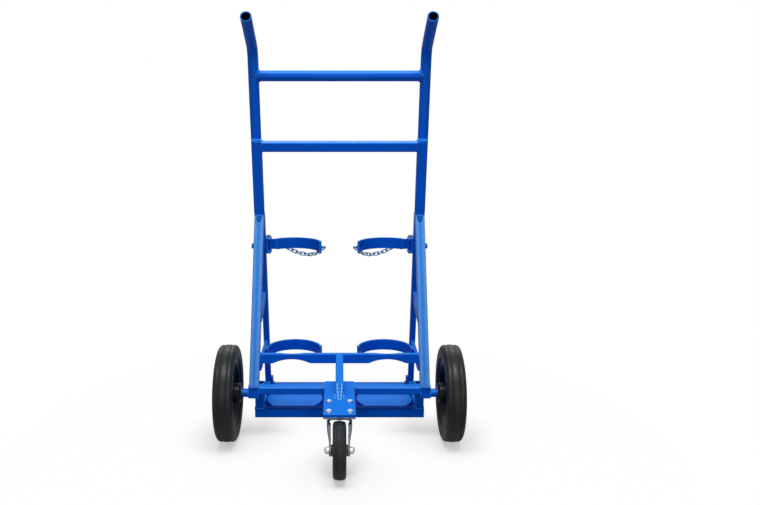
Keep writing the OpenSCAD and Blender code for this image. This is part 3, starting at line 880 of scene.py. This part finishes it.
@dataclass(frozen=True)
class WeldBead:
    """A fillet weld laid as a row of overlapping ripples.

    The lines that beads follow stand off the faces by less than the bead's radius, so that each
    bead is partly sunk into both pieces.
    """

    radius: float
    pitch: float
    ripple: float = 0.22
    steps: int = 5
    sides: int = 8
    tip: float = 0.35

    def lay(self, shape: Shape, path: Sequence[Vector], closed: bool = False) -> None:
        """Adds one bead along a line.

        Args:
            shape: Geometry to add to.
            path: Corner points of the seam, in metres.
            closed: Whether the bead returns to its start; otherwise it thins at both tips.
        """
        points = resample(path, self.pitch * MM / self.steps, closed)
        count = len(points)
        rings = []
        side = None
        for k, point in enumerate(points):
            before = points[k - 1] if closed or k else point
            after = points[(k + 1) % count] if closed or k < count - 1 else point
            along = (after - before).normalized()
            if side is None:
                side = along.orthogonal()
            side = (side - along * side.dot(along)).normalized()
            up = along.cross(side)
            phase = (k % self.steps) / self.steps
            size = self.radius * (1 - self.ripple + self.ripple * math.sin(math.pi * phase))
            if not closed:
                inward = min(k, count - 1 - k) / self.steps
                size *= min(1.0, self.tip + (1 - self.tip) * inward)
            rings.append(
                [
                    shape.verts.new(point + (side * math.cos(a) + up * math.sin(a)) * size * MM)
                    for a in turns(self.sides)
                ]
            )
        ring_skin(shape, rings, closed)


Seam = tuple[WeldBead, list[Vector], bool]
FINE_BEAD = WeldBead(1.6, 3.2)


# Sub-assemblies


@dataclass
class Assembly:
    """A group of pieces that are made together, with the materials that dress them."""

    materials: Materials

    def build(self) -> None:
        """Makes the pieces; each group has its own."""
        raise NotImplementedError

    def dressed(self, name: str, shape: Shape, look: Look, sharp_deg: float) -> bpy.types.Object:
        """Turns a bmesh into a shaded object of the scene.

        Args:
            name: Name of the piece.
            shape: Geometry in metres; it is freed.
            look: Finish of the piece.
            sharp_deg: Edges bent by more than this stay sharp.

        Returns:
            The new object.
        """
        bmesh.ops.recalc_face_normals(shape, faces=shape.faces)
        mesh = bpy.data.meshes.new(name)
        shape.to_mesh(mesh)
        shape.free()
        mesh.shade_smooth()
        mesh.set_sharp_from_angle(angle=math.radians(sharp_deg))
        mesh.materials.append(self.materials[look])
        piece = bpy.data.objects.new(name, mesh)
        bpy.context.scene.collection.objects.link(piece)
        return piece

    def add_piece(self, piece: bpy.types.Object, body: Body, slot: str, *nodes: str) -> None:
        """Lets a piece ride on its body and hides the nodes that it stands for.

        Args:
            piece: The new piece, in place.
            body: Body that it moves with.
            slot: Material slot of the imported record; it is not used.
            nodes: CAD nodes that it replaces.
        """
        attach(piece, body.value)
        if nodes:
            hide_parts(*nodes)
        LOG.info("%s rides on %s", piece.name, body.value)


@dataclass
class SideFrames(Assembly):
    """Handle tubes, uprights, struts and legs, with the welds that join them."""

    lean_deg: float = 10.4
    mitre_z: float = 578.0
    mitre_y: float = 140.0
    tube_r: float = 13.5
    tube_x: float = 215.0
    box: float = 25.0
    upright_x: float = 211.0
    upright_step: float = 26.1
    strut_foot: Point = (222.0, 0.0, 144.0)
    top_bar_z: float = 933.0
    saddle_half_deg: float = 48.0
    saddle_steps: int = 24
    mid_bar_z: float = 758.0
    leg_x: float = 208.0
    leg_half: Pair = (8.0, 12.7)
    floor_z: float = 60.0
    tie_x: float = 204.0
    tie_z: Pair = (193.0, 487.0)
    tie_h: float = 25.0
    tack_x: Pair = (203.5, 222.5)
    tack_z: Point = (596.0, 664.0, 722.0)
    tack_length: float = 34.0
    bead: WeldBead = WeldBead(2.4, 4.0)
    grip_end: Point = (215.0, -61.8, 1060.5)
    grip_rise_deg: float = 27.0
    # Rings as radius and distance along their axis.
    bore: tuple[Pair, ...] = (
        (10.95, 70.0), (10.95, 1.2), (10.65, 0.9), (10.25, 1.2), (10.25, 69.0),
    )
    end_face: tuple[Pair, ...] = (
        (11.1, 0.4), (11.1, 0.0), (11.4, -0.12), (12.9, -0.12), (13.2, 0.0), (13.2, 0.4),
    )
    bolt_z: float = 497.0
    bolt_washer: tuple[Pair, ...] = ((8.4, 0.0), (8.4, 1.1), (8.0, 1.5))
    bolt_head: tuple[Pair, ...] = ((7.4, 1.4), (7.4, 5.0), (6.4, 5.8))
    patch_half: float = 7.2
    patch_drop: float = 9.5
    # Rings of the patch as share of its width and height above the strut's face.
    patch_rings: tuple[Pair, ...] = ((1.0, -0.6), (1.0, 0.2), (0.9, 0.4), (0.7, 0.5))

    def tube_y(self, z: float) -> float:
        """Distance of the handle tube's centre line behind the axle at a height."""
        return self.mitre_y - math.tan(math.radians(self.lean_deg)) * (z - self.mitre_z)

    def upright_y(self, z: float) -> float:
        """Distance of the upright's centre line behind the axle at a height."""
        return self.tube_y(z) - self.upright_step / math.cos(math.radians(self.lean_deg))

    def strut(self, z: float) -> Point:
        """Finds the centre of the right strut at a height.

        Args:
            z: Height in millimetres.

        Returns:
            The centre, from the axle line.
        """
        x, y, low = self.strut_foot
        share = (z - low) / (self.mitre_z - low)
        top_y = self.upright_y(self.mitre_z)
        return (x + (self.upright_x - x) * share, y + (top_y - y) * share, z)

    def saddle(self, side: int, middle_deg: float) -> list[Vector]:
        """Seam where the round top crossbar runs into a handle tube, above or below it.

        Args:
            side: 1 for right, -1 for left.
            middle_deg: Angle of the seam's middle round the crossbar.

        Returns:
            Points along the seam.
        """
        lean = math.radians(self.lean_deg)
        y, z, reach = self.tube_y(self.top_bar_z), self.top_bar_z, self.tube_r + 0.3
        points = []
        for k in range(self.saddle_steps + 1):
            turned_deg = self.saddle_half_deg * (2 * k / self.saddle_steps - 1)
            a = math.radians(middle_deg + turned_deg)
            x = self.tube_x - self.tube_r * abs(math.sin(a)) - 0.6
            a += lean
            points.append(at(side * x, y + reach * math.cos(a), z + reach * math.sin(a)))
        return points

    def seams(self, side: int) -> Iterable[Seam]:
        """Welds of one side frame.

        Args:
            side: 1 for right, -1 for left.

        Yields:
            A bead, its line and whether the line is closed.
        """
        lean = math.radians(self.lean_deg)
        across = Vector((0, math.cos(lean), math.sin(lean)))
        up = Vector((0, -math.sin(lean), math.cos(lean)))
        half = self.box / 2
        for middle_deg in (90.0, 270.0):
            yield self.bead, self.saddle(side, middle_deg), False
        inner = self.upright_x - half - 0.3
        bar = at(side * inner, self.upright_y(self.mid_bar_z), self.mid_bar_z)
        yield self.bead, rectangle(bar, across, up, half, half), True
        mitre = at(side * self.upright_x, self.upright_y(self.mitre_z), self.mitre_z - 1)
        yield FINE_BEAD, rectangle(mitre, X_AXIS, Y_AXIS, half, half + 0.7), True
        foot = at(side * self.strut_foot[0], self.strut_foot[1], self.strut_foot[2] + 0.5)
        yield self.bead, rectangle(foot, X_AXIS, Y_AXIS, half, half + 0.5), True
        leg = at(side * self.leg_x, self.tube_y(self.floor_z), self.floor_z + 0.5)
        yield FINE_BEAD, rectangle(leg, X_AXIS, Y_AXIS, *self.leg_half), True
        for x in self.tack_x:
            for low in self.tack_z:
                ends = (low, low + self.tack_length)
                tack = [at(side * x, self.upright_y(z) + half + 1.2, z) for z in ends]
                yield FINE_BEAD, tack, False
        for z in self.tie_z:
            strut_back = self.strut(z)[1] + half + 0.6
            leg_front = self.tube_y(z) - self.leg_half[1] - 0.2
            for y in (strut_back, leg_front):
                low = at(side * (self.tie_x - 0.2), y, z - self.tie_h / 2 + 1)
                yield FINE_BEAD, [low, low + Z_AXIS * (self.tie_h - 2) * MM], False

    def patch(self, shape: Shape, side: int) -> None:
        """Adds the round-ended weld patch below the mitre, on the face of a strut.

        Args:
            shape: Geometry to add to.
            side: 1 for right, -1 for left.
        """
        low, high = (Vector(self.strut(z)) for z in (self.mitre_z - 30, self.mitre_z))
        up = (high - low).normalized()
        up.x *= side
        out = Vector((0, -up.z, up.y)).normalized()
        x, y, z = self.strut(self.mitre_z - self.patch_drop)
        centre = at(side * x, y, z) + out * (self.box / 2) * MM
        tongue = [math.pi * k / 12 for k in range(13)]
        outline = [(-1.0, 1.1), (-1.0, 0.6)]
        outline += [(-math.cos(a), 0.2 - 1.9 * math.sin(a)) for a in tongue]
        outline += [(1.0, 0.6), (1.0, 1.1), (0.0, 1.2)]
        rings = []
        for size, lift in self.patch_rings:
            scale, raise_by = self.patch_half * size * MM, out * (lift * MM)
            rings.append(
                [
                    shape.verts.new(centre + (X_AXIS * u + up * w) * scale + raise_by)
                    for u, w in outline
                ]
            )
        ring_skin(shape, rings, False)

    def build(self) -> None:
        """Makes the weld beads, mitre patches, bolt heads and open ends of the handle tubes."""
        welds, patches, bolts, bores, ends = (bmesh.new() for _ in range(5))
        rise = math.radians(self.grip_rise_deg)
        into_grip = Vector((0, math.cos(rise), -math.sin(rise)))
        for side in (each.value for each in Side):
            for bead, line, closed in self.seams(side):
                bead.lay(welds, line, closed)
            self.patch(patches, side)
            # A washer and a hexagon head sit on the outside of a strut, level with the upper tie.
            x, y, z = self.strut(self.bolt_z)
            bolt = at(side * (x + self.box / 2 - 0.2), y, z)
            stack(bolts, self.bolt_washer, bolt, X_AXIS * side, 32)
            stack(bolts, self.bolt_head, bolt, X_AXIS * side, 6)
            # A handle tube's open end shows a dark inside, partly mill scale and partly painted
            # shade, and the coat on its cut face.
            x, y, z = self.grip_end
            grip = at(side * x, y, z)
            stack(bores, self.bore, grip, into_grip, 40)
            stack(ends, self.end_face, grip, into_grip, 48, hollow=True)
        for name, shape, look, slot in (
            ("side_frame_welds", welds, Look.PAINT, "blue_powder_coat"),
            ("mitre_patches", patches, Look.WELD, "blue_powder_coat"),
            ("strut_bolts", bolts, Look.WELD, "blue_powder_coat"),
            ("handle_bores", bores, Look.BORE, "bush_steel"),
            ("handle_end_faces", ends, Look.WELD, "blue_powder_coat"),
        ):
            self.add_piece(self.dressed(name, shape, look, 50), Body.FRAME, slot)


@dataclass
class AxleAndTray(Assembly):
    """Axle beam, tray and cross plate, with their welds and the tray's pan."""

    beam_half: float = 12.5
    block_out_x: float = 236.0
    axle_z: float = 125.0
    axle_end_x: float = 309.7
    axle_end: tuple[Pair, ...] = ((8.6, 0.0), (8.6, 0.3), (8.0, 0.7), (2.6, 0.7), (0.6, 0.3))
    stub_r: float = 11.0
    post_x: float = 210.5
    post_half: Pair = (11.5, 12.5)
    stitch_x: Pair = (201.5, 219.5)
    stitch_z: Pair = (77.0, 123.0)
    near_y: float = 25.0
    tray_top: float = 75.0
    near_back_y: float = 37.5
    far_bar_y: float = 218.0
    floor_z: float = 60.0
    disc_x: float = 124.5
    tab_half: float = 15.0
    cross_y: float = 12.17
    cross_z: Pair = (201.0, 226.0)
    cross_end_x: float = 207.0
    side_bar_x: Pair = (203.0, 221.0)
    pan_half_x: float = 201.6
    pan_z: float = 51.7
    pan_t: float = 2.0
    pan_edge: float = 0.6
    pan_corner: float = 4.0
    pan_let_in: float = 0.4
    bead: WeldBead = WeldBead(2.2, 4.0)

    def seams(self, side: int) -> Iterable[Seam]:
        """Welds of one half of the axle and tray.

        Args:
            side: 1 for right, -1 for left.

        Yields:
            A bead, its line and whether the line is closed.
        """
        block, r = side * (self.block_out_x + 0.3), self.stub_r + 0.5
        ring = [at(block, r * math.cos(a), self.axle_z + r * math.sin(a)) for a in turns(32)]
        yield self.bead, ring, True
        post = at(side * self.post_x, self.near_y, self.tray_top + 0.4)
        yield self.bead, rectangle(post, X_AXIS, Y_AXIS, *self.post_half), True
        for x in self.stitch_x:
            stitch = [at(side * x, self.beam_half + 0.6, z) for z in self.stitch_z]
            yield FINE_BEAD, stitch, False
        low, high = self.cross_z
        ends = (low + 2, high - 1)
        yield self.bead, [at(side * self.cross_end_x, self.cross_y - 0.4, z) for z in ends], False
        tab = (self.disc_x - self.tab_half, self.disc_x + self.tab_half)
        for reach, y, z in (
            (tab, self.near_back_y + 0.4, self.floor_z + 0.3),
            (tab, self.far_bar_y - 0.4, self.floor_z + 0.3),
            (self.side_bar_x, self.far_bar_y - 0.3, self.floor_z + 0.5),
        ):
            yield FINE_BEAD, [at(side * x, y, z) for x in reach], False

    def pan(self) -> Shape:
        """Sheet that closes the tray under the two discs.

        Returns:
            The pan's geometry.
        """
        shape = bmesh.new()
        # The sheet is let into the bars by a little, where it is welded to them.
        near, far = self.near_back_y - self.pan_let_in, self.far_bar_y + self.pan_let_in
        edge, top = self.pan_edge, self.pan_t
        rings = []
        for inset, lift in ((edge, 0.0), (0.0, edge), (0.0, top - edge), (edge, top)):
            centre = at(0, (near + far) / 2, self.pan_z + lift)
            halves = (self.pan_half_x - inset, (far - near) / 2 - inset)
            loop = rectangle(centre, X_AXIS, Y_AXIS, *halves, self.pan_corner)
            rings.append([shape.verts.new(point) for point in loop])
        ring_skin(shape, rings, False)
        return shape

    def build(self) -> None:
        """Makes the tray's pan, the welds of the axle and tray, and the bare ends of the axle."""
        welds, ends = bmesh.new(), bmesh.new()
        for side in (each.value for each in Side):
            for bead, line, closed in self.seams(side):
                bead.lay(welds, line, closed)
            base = at(side * self.axle_end_x, 0, self.axle_z)
            stack(ends, self.axle_end, base, X_AXIS * side, 40)
        for name, shape, look, sharp_deg, slot in (
            ("tray_pan", self.pan(), Look.PAN, 40, "blue_powder_coat"),
            ("axle_and_tray_welds", welds, Look.PAINT, 60, "blue_powder_coat"),
            ("axle_end_faces", ends, Look.TURNED_STEEL, 30, "bush_steel"),
        ):
            self.add_piece(self.dressed(name, shape, look, sharp_deg), Body.FRAME, slot)


@dataclass
class CentreStrut(Assembly):
    """Sloping strut on the castor mounting plate, with its pointed weld."""

    foot_y: float = -111.3
    plate_z: float = 152.0
    slope_deg: float = 31.15
    half: float = 10.0
    tip_y: float = -122.0
    start_y: float = -70.0
    # X of a row of beads at its start, at the strut's foot and at its tip.
    row_x: Point = (6.6, 3.4, 1.0)
    edge_y: Pair = (-108.0, -76.0)
    bead: WeldBead = WeldBead(2.7, 11.5, 0.8, 12)
    fine: WeldBead = WeldBead(1.8, 3.6)

    def face_z(self, y: float) -> float:
        """Height of the strut's upper face at a distance from the axle."""
        return self.plate_z + (y - self.foot_y) * math.tan(math.radians(self.slope_deg))

    def build(self) -> None:
        """Makes the beads that run to a point on the plate, and those beside the strut's foot."""
        welds = bmesh.new()
        start_x, foot_x, tip_x = self.row_x
        for side in (each.value for each in Side):
            row = [
                at(side * start_x, self.start_y, self.face_z(self.start_y) + 0.8),
                at(side * foot_x, self.foot_y, self.plate_z + 0.8),
                at(side * tip_x, self.tip_y, self.plate_z + 0.5),
            ]
            self.bead.lay(welds, row)
            edge_x = side * (self.half + 0.3)
            self.fine.lay(welds, [at(edge_x, y, self.plate_z + 0.3) for y in self.edge_y])
        piece = self.dressed("centre_strut_welds", welds, Look.RIPPLES, 60)
        self.add_piece(piece, Body.FRAME, "blue_powder_coat")


@dataclass
class MainWheels(Assembly):
    """Solid tyres on the two main wheels, with rounded shoulders, three ribs and two grooves."""

    axle_z: float = 125.0
    tyre_mid_x: float = 289.0
    outer_r: float = 124.9
    seat_r: float = 88.1
    seat_half: float = 18.0
    half: float = 24.9
    segments: int = 160
    # Depth below the outer radius, with the distance from the tyre's middle.
    tread: tuple[Pair, ...] = (
        (0.0, 0.0), (0.2, 6.2), (0.7, 7.6), (1.5, 8.4), (2.1, 9.3), (2.3, 10.0), (2.1, 10.7),
        (1.5, 11.6), (0.9, 12.4), (0.6, 13.8), (1.2, 17.0), (2.6, 19.8), (5.0, 22.2),
        (8.5, 23.9),
    )
    # Depth below the outer radius, with the distance in from the tyre's side.
    wall: tuple[Pair, ...] = (
        (13.0, 0.0), (19.0, 0.0), (20.0, 0.9), (21.2, 0.9), (22.2, 0.2), (27.0, 1.0),
        (31.0, 2.6), (34.5, 4.8),
    )

    def profile(self) -> list[Pair]:
        """Section of a tyre.

        Returns:
            Closed profile as radius and distance from the tyre's middle.
        """
        right = [(self.outer_r - depth, u) for depth, u in self.tread]
        right += [(self.outer_r - depth, self.half - inset) for depth, inset in self.wall]
        right.append((self.seat_r, self.seat_half))
        return right + [(r, -u) for r, u in reversed(right[1:])]

    def build(self) -> None:
        """Makes both tyres."""
        for side, body in ((Side.LEFT, Body.LEFT_WHEEL), (Side.RIGHT, Body.RIGHT_WHEEL)):
            centre = at(side.value * self.tyre_mid_x, 0, self.axle_z)
            shape = lathe(self.profile(), centre, side.value, self.segments)
            name = f"tyre_{side.word}"
            piece = self.dressed(f"ribbed_{name}", shape, Look.TYRE, 50)
            self.add_piece(piece, body, "black_tyre_rubber", name)


@dataclass
class Castor(Assembly):
    """Castor tyre with fine tread lines, and the pressed fork that carries it."""

    swivel_y: float = -165.0
    wheel_y: float = -217.0
    wheel_z: float = 68.0
    outer_r: float = 67.9
    seat_r: float = 46.1
    half: float = 15.9
    lines: int = 7
    line_span: float = 10.5
    line_depth: float = 0.55
    crown_drop: float = 1.6
    segments: int = 128
    leg_x: float = 22.5
    leg_z: tuple[float, ...] = (
        54.3, 55.2, 57.0, 60.0, 64.0, 68.0, 72.0, 76.0,
        82.0, 88.0, 94.0, 100.0, 106.0, 112.0, 118.0,
    )
    # Height and Y where the straight part of a leg's edge starts, and its slope.
    near_edge: Point = (73.9, -64.7, 0.7225)
    far_edge: Point = (60.0, -40.5, 0.992)
    flare: float = 5.5
    flare_z: Pair = (84.0, 118.0)
    bend_r: float = 8.0
    bend_steps: int = 6
    bend_far_y: float = 23.7
    crown_z: float = 131.0
    crown_r: float = 31.0
    crown_x: tuple[float, ...] = (16.0, 12.0, 8.0, 4.0, 0.0)
    slot_y: float = -19.0
    trail: float = -52.0
    end_r: float = 14.0
    sheet: float = 4.0
    sheet_edge: float = 0.8
    sheet_steps: int = 5
    flange_in: float = 20.4
    flange_t: float = 3.0
    dome_x: float = 24.4
    dome: tuple[Pair, ...] = (
        (9.4, 0.0), (9.4, 1.2), (8.7, 1.4), (8.7, 4.4), (8.2, 6.4), (7.0, 8.6), (5.2, 10.2),
        (2.8, 11.2), (0.7, 11.6),
    )

    def leg_edges(self, z: float) -> Pair:
        """Front and back edge of a fork leg at a height, from the swivel axis.

        Args:
            z: Height in millimetres.

        Returns:
            Y of the near edge and of the far edge.
        """
        round_half = math.sqrt(max(self.end_r**2 - (z - self.wheel_z) ** 2, 0.0))
        edges = []
        for sign, (start_z, start_y, slope) in ((-1, self.near_edge), (1, self.far_edge)):
            straight = start_y + (z - start_z) * slope
            edges.append(self.trail + sign * round_half if z < start_z else straight)
        return (edges[0], edges[1])

    def fork_stations(self) -> list[tuple[float, float, float, float, float, float]]:
        """Half of the fork's strip, from the foot of a leg to the middle of the crown.

        Returns:
            For each station X, Z, the outward normal's X and Z, and the near and far edge.
        """
        stations = []
        low, high = self.flare_z
        for z in self.leg_z:
            share = min(max((z - low) / (high - low), 0.0), 1.0)
            x = self.leg_x + self.flare * share * share * (3 - 2 * share)
            stations.append((x, z, 1.0, 0.0, *self.leg_edges(z)))
        bend_x, bend_z = self.leg_x + self.flare - self.bend_r, self.crown_z - self.bend_r
        near, far = self.leg_edges(bend_z)
        for k in range(self.bend_steps + 1):
            share = k / self.bend_steps
            nx, nz = math.cos(math.pi / 2 * share), math.sin(math.pi / 2 * share)
            edges = (near + (self.slot_y - near) * share, far + (self.bend_far_y - far) * share)
            stations.append((bend_x + self.bend_r * nx, bend_z + self.bend_r * nz, nx, nz, *edges))
        for x in self.crown_x:
            edge = math.sqrt(self.crown_r**2 - x * x)
            stations.append((x, self.crown_z, 0.0, 1.0, self.slot_y, edge))
        return stations

    def fork(self) -> Shape:
        """Pressed fork: one strip of sheet that runs up a leg, over the crown and down again.

        Returns:
            The fork's geometry.
        """
        half = self.fork_stations()
        whole = half + [(-x, z, -nx, *rest) for x, z, nx, *rest in reversed(half[:-1])]
        shape = bmesh.new()
        rings = []
        out, edge = self.sheet / 2, self.sheet_edge
        for x, z, nx, nz, near, far in whole:
            turned_in = out + max(abs(x) - out - self.flange_in, 0.3) * nx * nx
            fold = near + min(self.flange_t, (far - near) / 3)
            row = [fold + (far - fold) * k / self.sheet_steps for k in range(self.sheet_steps + 1)]
            section = [(near + edge, out), (near, out - edge)]
            section += [(near, -turned_in), (fold, -turned_in)]
            section += [(y, -out) for y in row] + [(y, out) for y in reversed(row)]
            rings.append(
                [shape.verts.new(at(x + nx * o, self.swivel_y + y, z + nz * o)) for y, o in section]
            )
        ring_skin(shape, rings, False)
        return shape

    def profile(self) -> list[Pair]:
        """Section of the castor tyre with a crowned tread and fine lines.

        Returns:
            Closed profile as radius and distance from the tyre's middle.
        """
        top, seat = self.outer_r, self.seat_r
        tread = []
        for k in range(self.lines):
            u = self.line_span * (2 * k / (self.lines - 1) - 1)
            crown = top - self.crown_drop * (u / self.line_span) ** 2
            cut = crown - self.line_depth
            tread += [(crown, u - 0.9), (cut, u - 0.35), (cut, u + 0.35), (crown, u + 0.9)]
        right = [(top - 2.6, 12.6), (top - 4.6, 14.4), (top - 7.5, 15.5), (top - 11.0, self.half)]
        right += [(seat + 5.5, self.half), (seat + 2.5, self.half - 1.1), (seat, self.half - 3.2)]
        return [(r, -u) for r, u in reversed(right)] + tread + right

    def build(self) -> None:
        """Makes the castor tyre, the fork and the domed nuts of its axle."""
        tyre = lathe(self.profile(), at(0, self.wheel_y, self.wheel_z), 1, self.segments)
        piece = self.dressed("lined_castor_tyre", tyre, Look.CASTOR, 50)
        self.add_piece(piece, Body.CASTOR_WHEEL, "castor_rubber", "castor_tyre")
        piece = self.dressed("pressed_castor_fork", self.fork(), Look.FORK, 45)
        self.add_piece(piece, Body.CASTOR_FORK, "zinc_plated_steel", "castor_fork")
        domes = bmesh.new()
        for side in (each.value for each in Side):
            base = at(side * self.dome_x, self.wheel_y, self.wheel_z)
            stack(domes, self.dome, base, X_AXIS * side, 36)
        piece = self.dressed("castor_axle_domes", domes, Look.FASTENER, 50)
        self.add_piece(piece, Body.CASTOR_FORK, "zinc_plated_steel")


# Studio


@dataclass(frozen=True)
class SoftBox:
    """A soft light, with its place, target, width and height in metres and its power in watts."""

    name: str
    place: Point
    target: Point
    size: Pair
    power: float

    def hang(self) -> None:
        """Adds the lamp to the scene, out of the camera's sight."""
        data = bpy.data.lights.new(self.name, "AREA")
        data.shape = "RECTANGLE"
        data.size, data.size_y = self.size
        data.energy = self.power
        lamp = bpy.data.objects.new(self.name, data)
        lamp.location = self.place
        aim = Vector(self.target) - Vector(self.place)
        lamp.rotation_euler = aim.to_track_quat("-Z", "Y").to_euler()
        lamp.visible_camera = False
        bpy.context.scene.collection.objects.link(lamp)


@dataclass
class Studio(Assembly):
    """Floor, lights, world and camera."""

    floor_half: float = 12.0
    fill: float = 0.22
    camera_place: Point = (0.0, -1855.0, 856.0)
    pitch_deg: float = 10.94
    focal_px: float = 751.5
    centre_px: float = 339.5
    sensor: float = 36.0
    boxes: tuple[SoftBox, ...] = (
        SoftBox("overhead_box", (0.0, -0.9, 3.0), (0.0, 0.0, 0.4), (2.0, 1.2), 76.0),
        SoftBox("left_strip", (-0.5, -2.1, 0.85), (-0.2, 0.0, 0.4), (0.35, 1.2), 4.0),
        SoftBox("right_strip", (0.5, -2.1, 0.85), (0.2, 0.0, 0.4), (0.35, 1.2), 4.0),
        SoftBox("back_box", (0.0, 2.6, 2.4), (0.0, 0.0, 0.5), (2.0, 1.0), 22.0),
    )

    def floor(self) -> None:
        """Lays the paper that the trolley stands on."""
        shape = bmesh.new()
        bmesh.ops.create_grid(shape, x_segments=2, y_segments=2, size=self.floor_half)
        floor = self.dressed("studio_floor", shape, Look.PAPER, 40)

    def world(self) -> None:
        """Sets a world that looks white and lights the trolley only a little."""
        world = bpy.data.worlds.new("studio_world")
        world.use_nodes = True
        tree = world.node_tree
        tree.nodes.clear()
        dim, white = (
            add_node(tree, "ShaderNodeBackground", {"Color": WHITE, "Strength": strength})
            for strength in (self.fill, 1.0)
        )
        both = add_node(
            tree,
            "ShaderNodeMixShader",
            {0: seen_rays(tree), 1: dim.outputs[0], 2: white.outputs[0]},
        )
        add_node(tree, "ShaderNodeOutputWorld", {"Surface": both.outputs[0]})
        bpy.context.scene.world = world

    def camera(self) -> None:
        """Sets the camera of the photograph."""
        data = bpy.data.cameras.new("photo_camera")
        data.sensor_fit = "HORIZONTAL"
        data.sensor_width = self.sensor
        data.lens = self.focal_px * self.sensor / IMAGE_WIDTH
        data.shift_x = (IMAGE_WIDTH / 2 - self.centre_px) / IMAGE_WIDTH
        camera = bpy.data.objects.new("photo_camera", data)
        camera.location = at(*self.camera_place)
        camera.rotation_euler = (math.radians(90 - self.pitch_deg), 0.0, 0.0)
        bpy.context.scene.collection.objects.link(camera)
        bpy.context.scene.camera = camera

    def build(self) -> None:
        """Sets up the whole studio."""
        bpy.context.scene.view_settings.view_transform = "Standard"
        self.camera()
        self.floor()
        for box in self.boxes:
            box.hang()
        self.world()


def dress_nodes(frame: dict, materials: Materials) -> None:
    """Gives every CAD node its own finish, or that of its material slot.

    Args:
        materials: The built materials.
    """
    for row in frame["record"]["subparts"]:
        node = row["node"]
        material = materials[NODE_LOOKS.get(node, SLOT_LOOKS[row["material_slot"]])]
        mesh = frame["nodes"][node].data
        mesh.materials.clear()
        mesh.materials.append(material)
        LOG.info("%s gets %s", node, material.name)


def main() -> None:
    """Builds the dressed trolley and its studio."""
    logging.basicConfig(level=logging.INFO, format="%(name)s: %(message)s")
    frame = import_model()
    materials = {look: look.value.make() for look in Look}
    Studio(materials).build()
    dress_nodes(frame, materials)
    for assembly in (SideFrames, AxleAndTray, CentreStrut, MainWheels, Castor):
        assembly(materials).build()


if __name__ == "__main__":
    main()
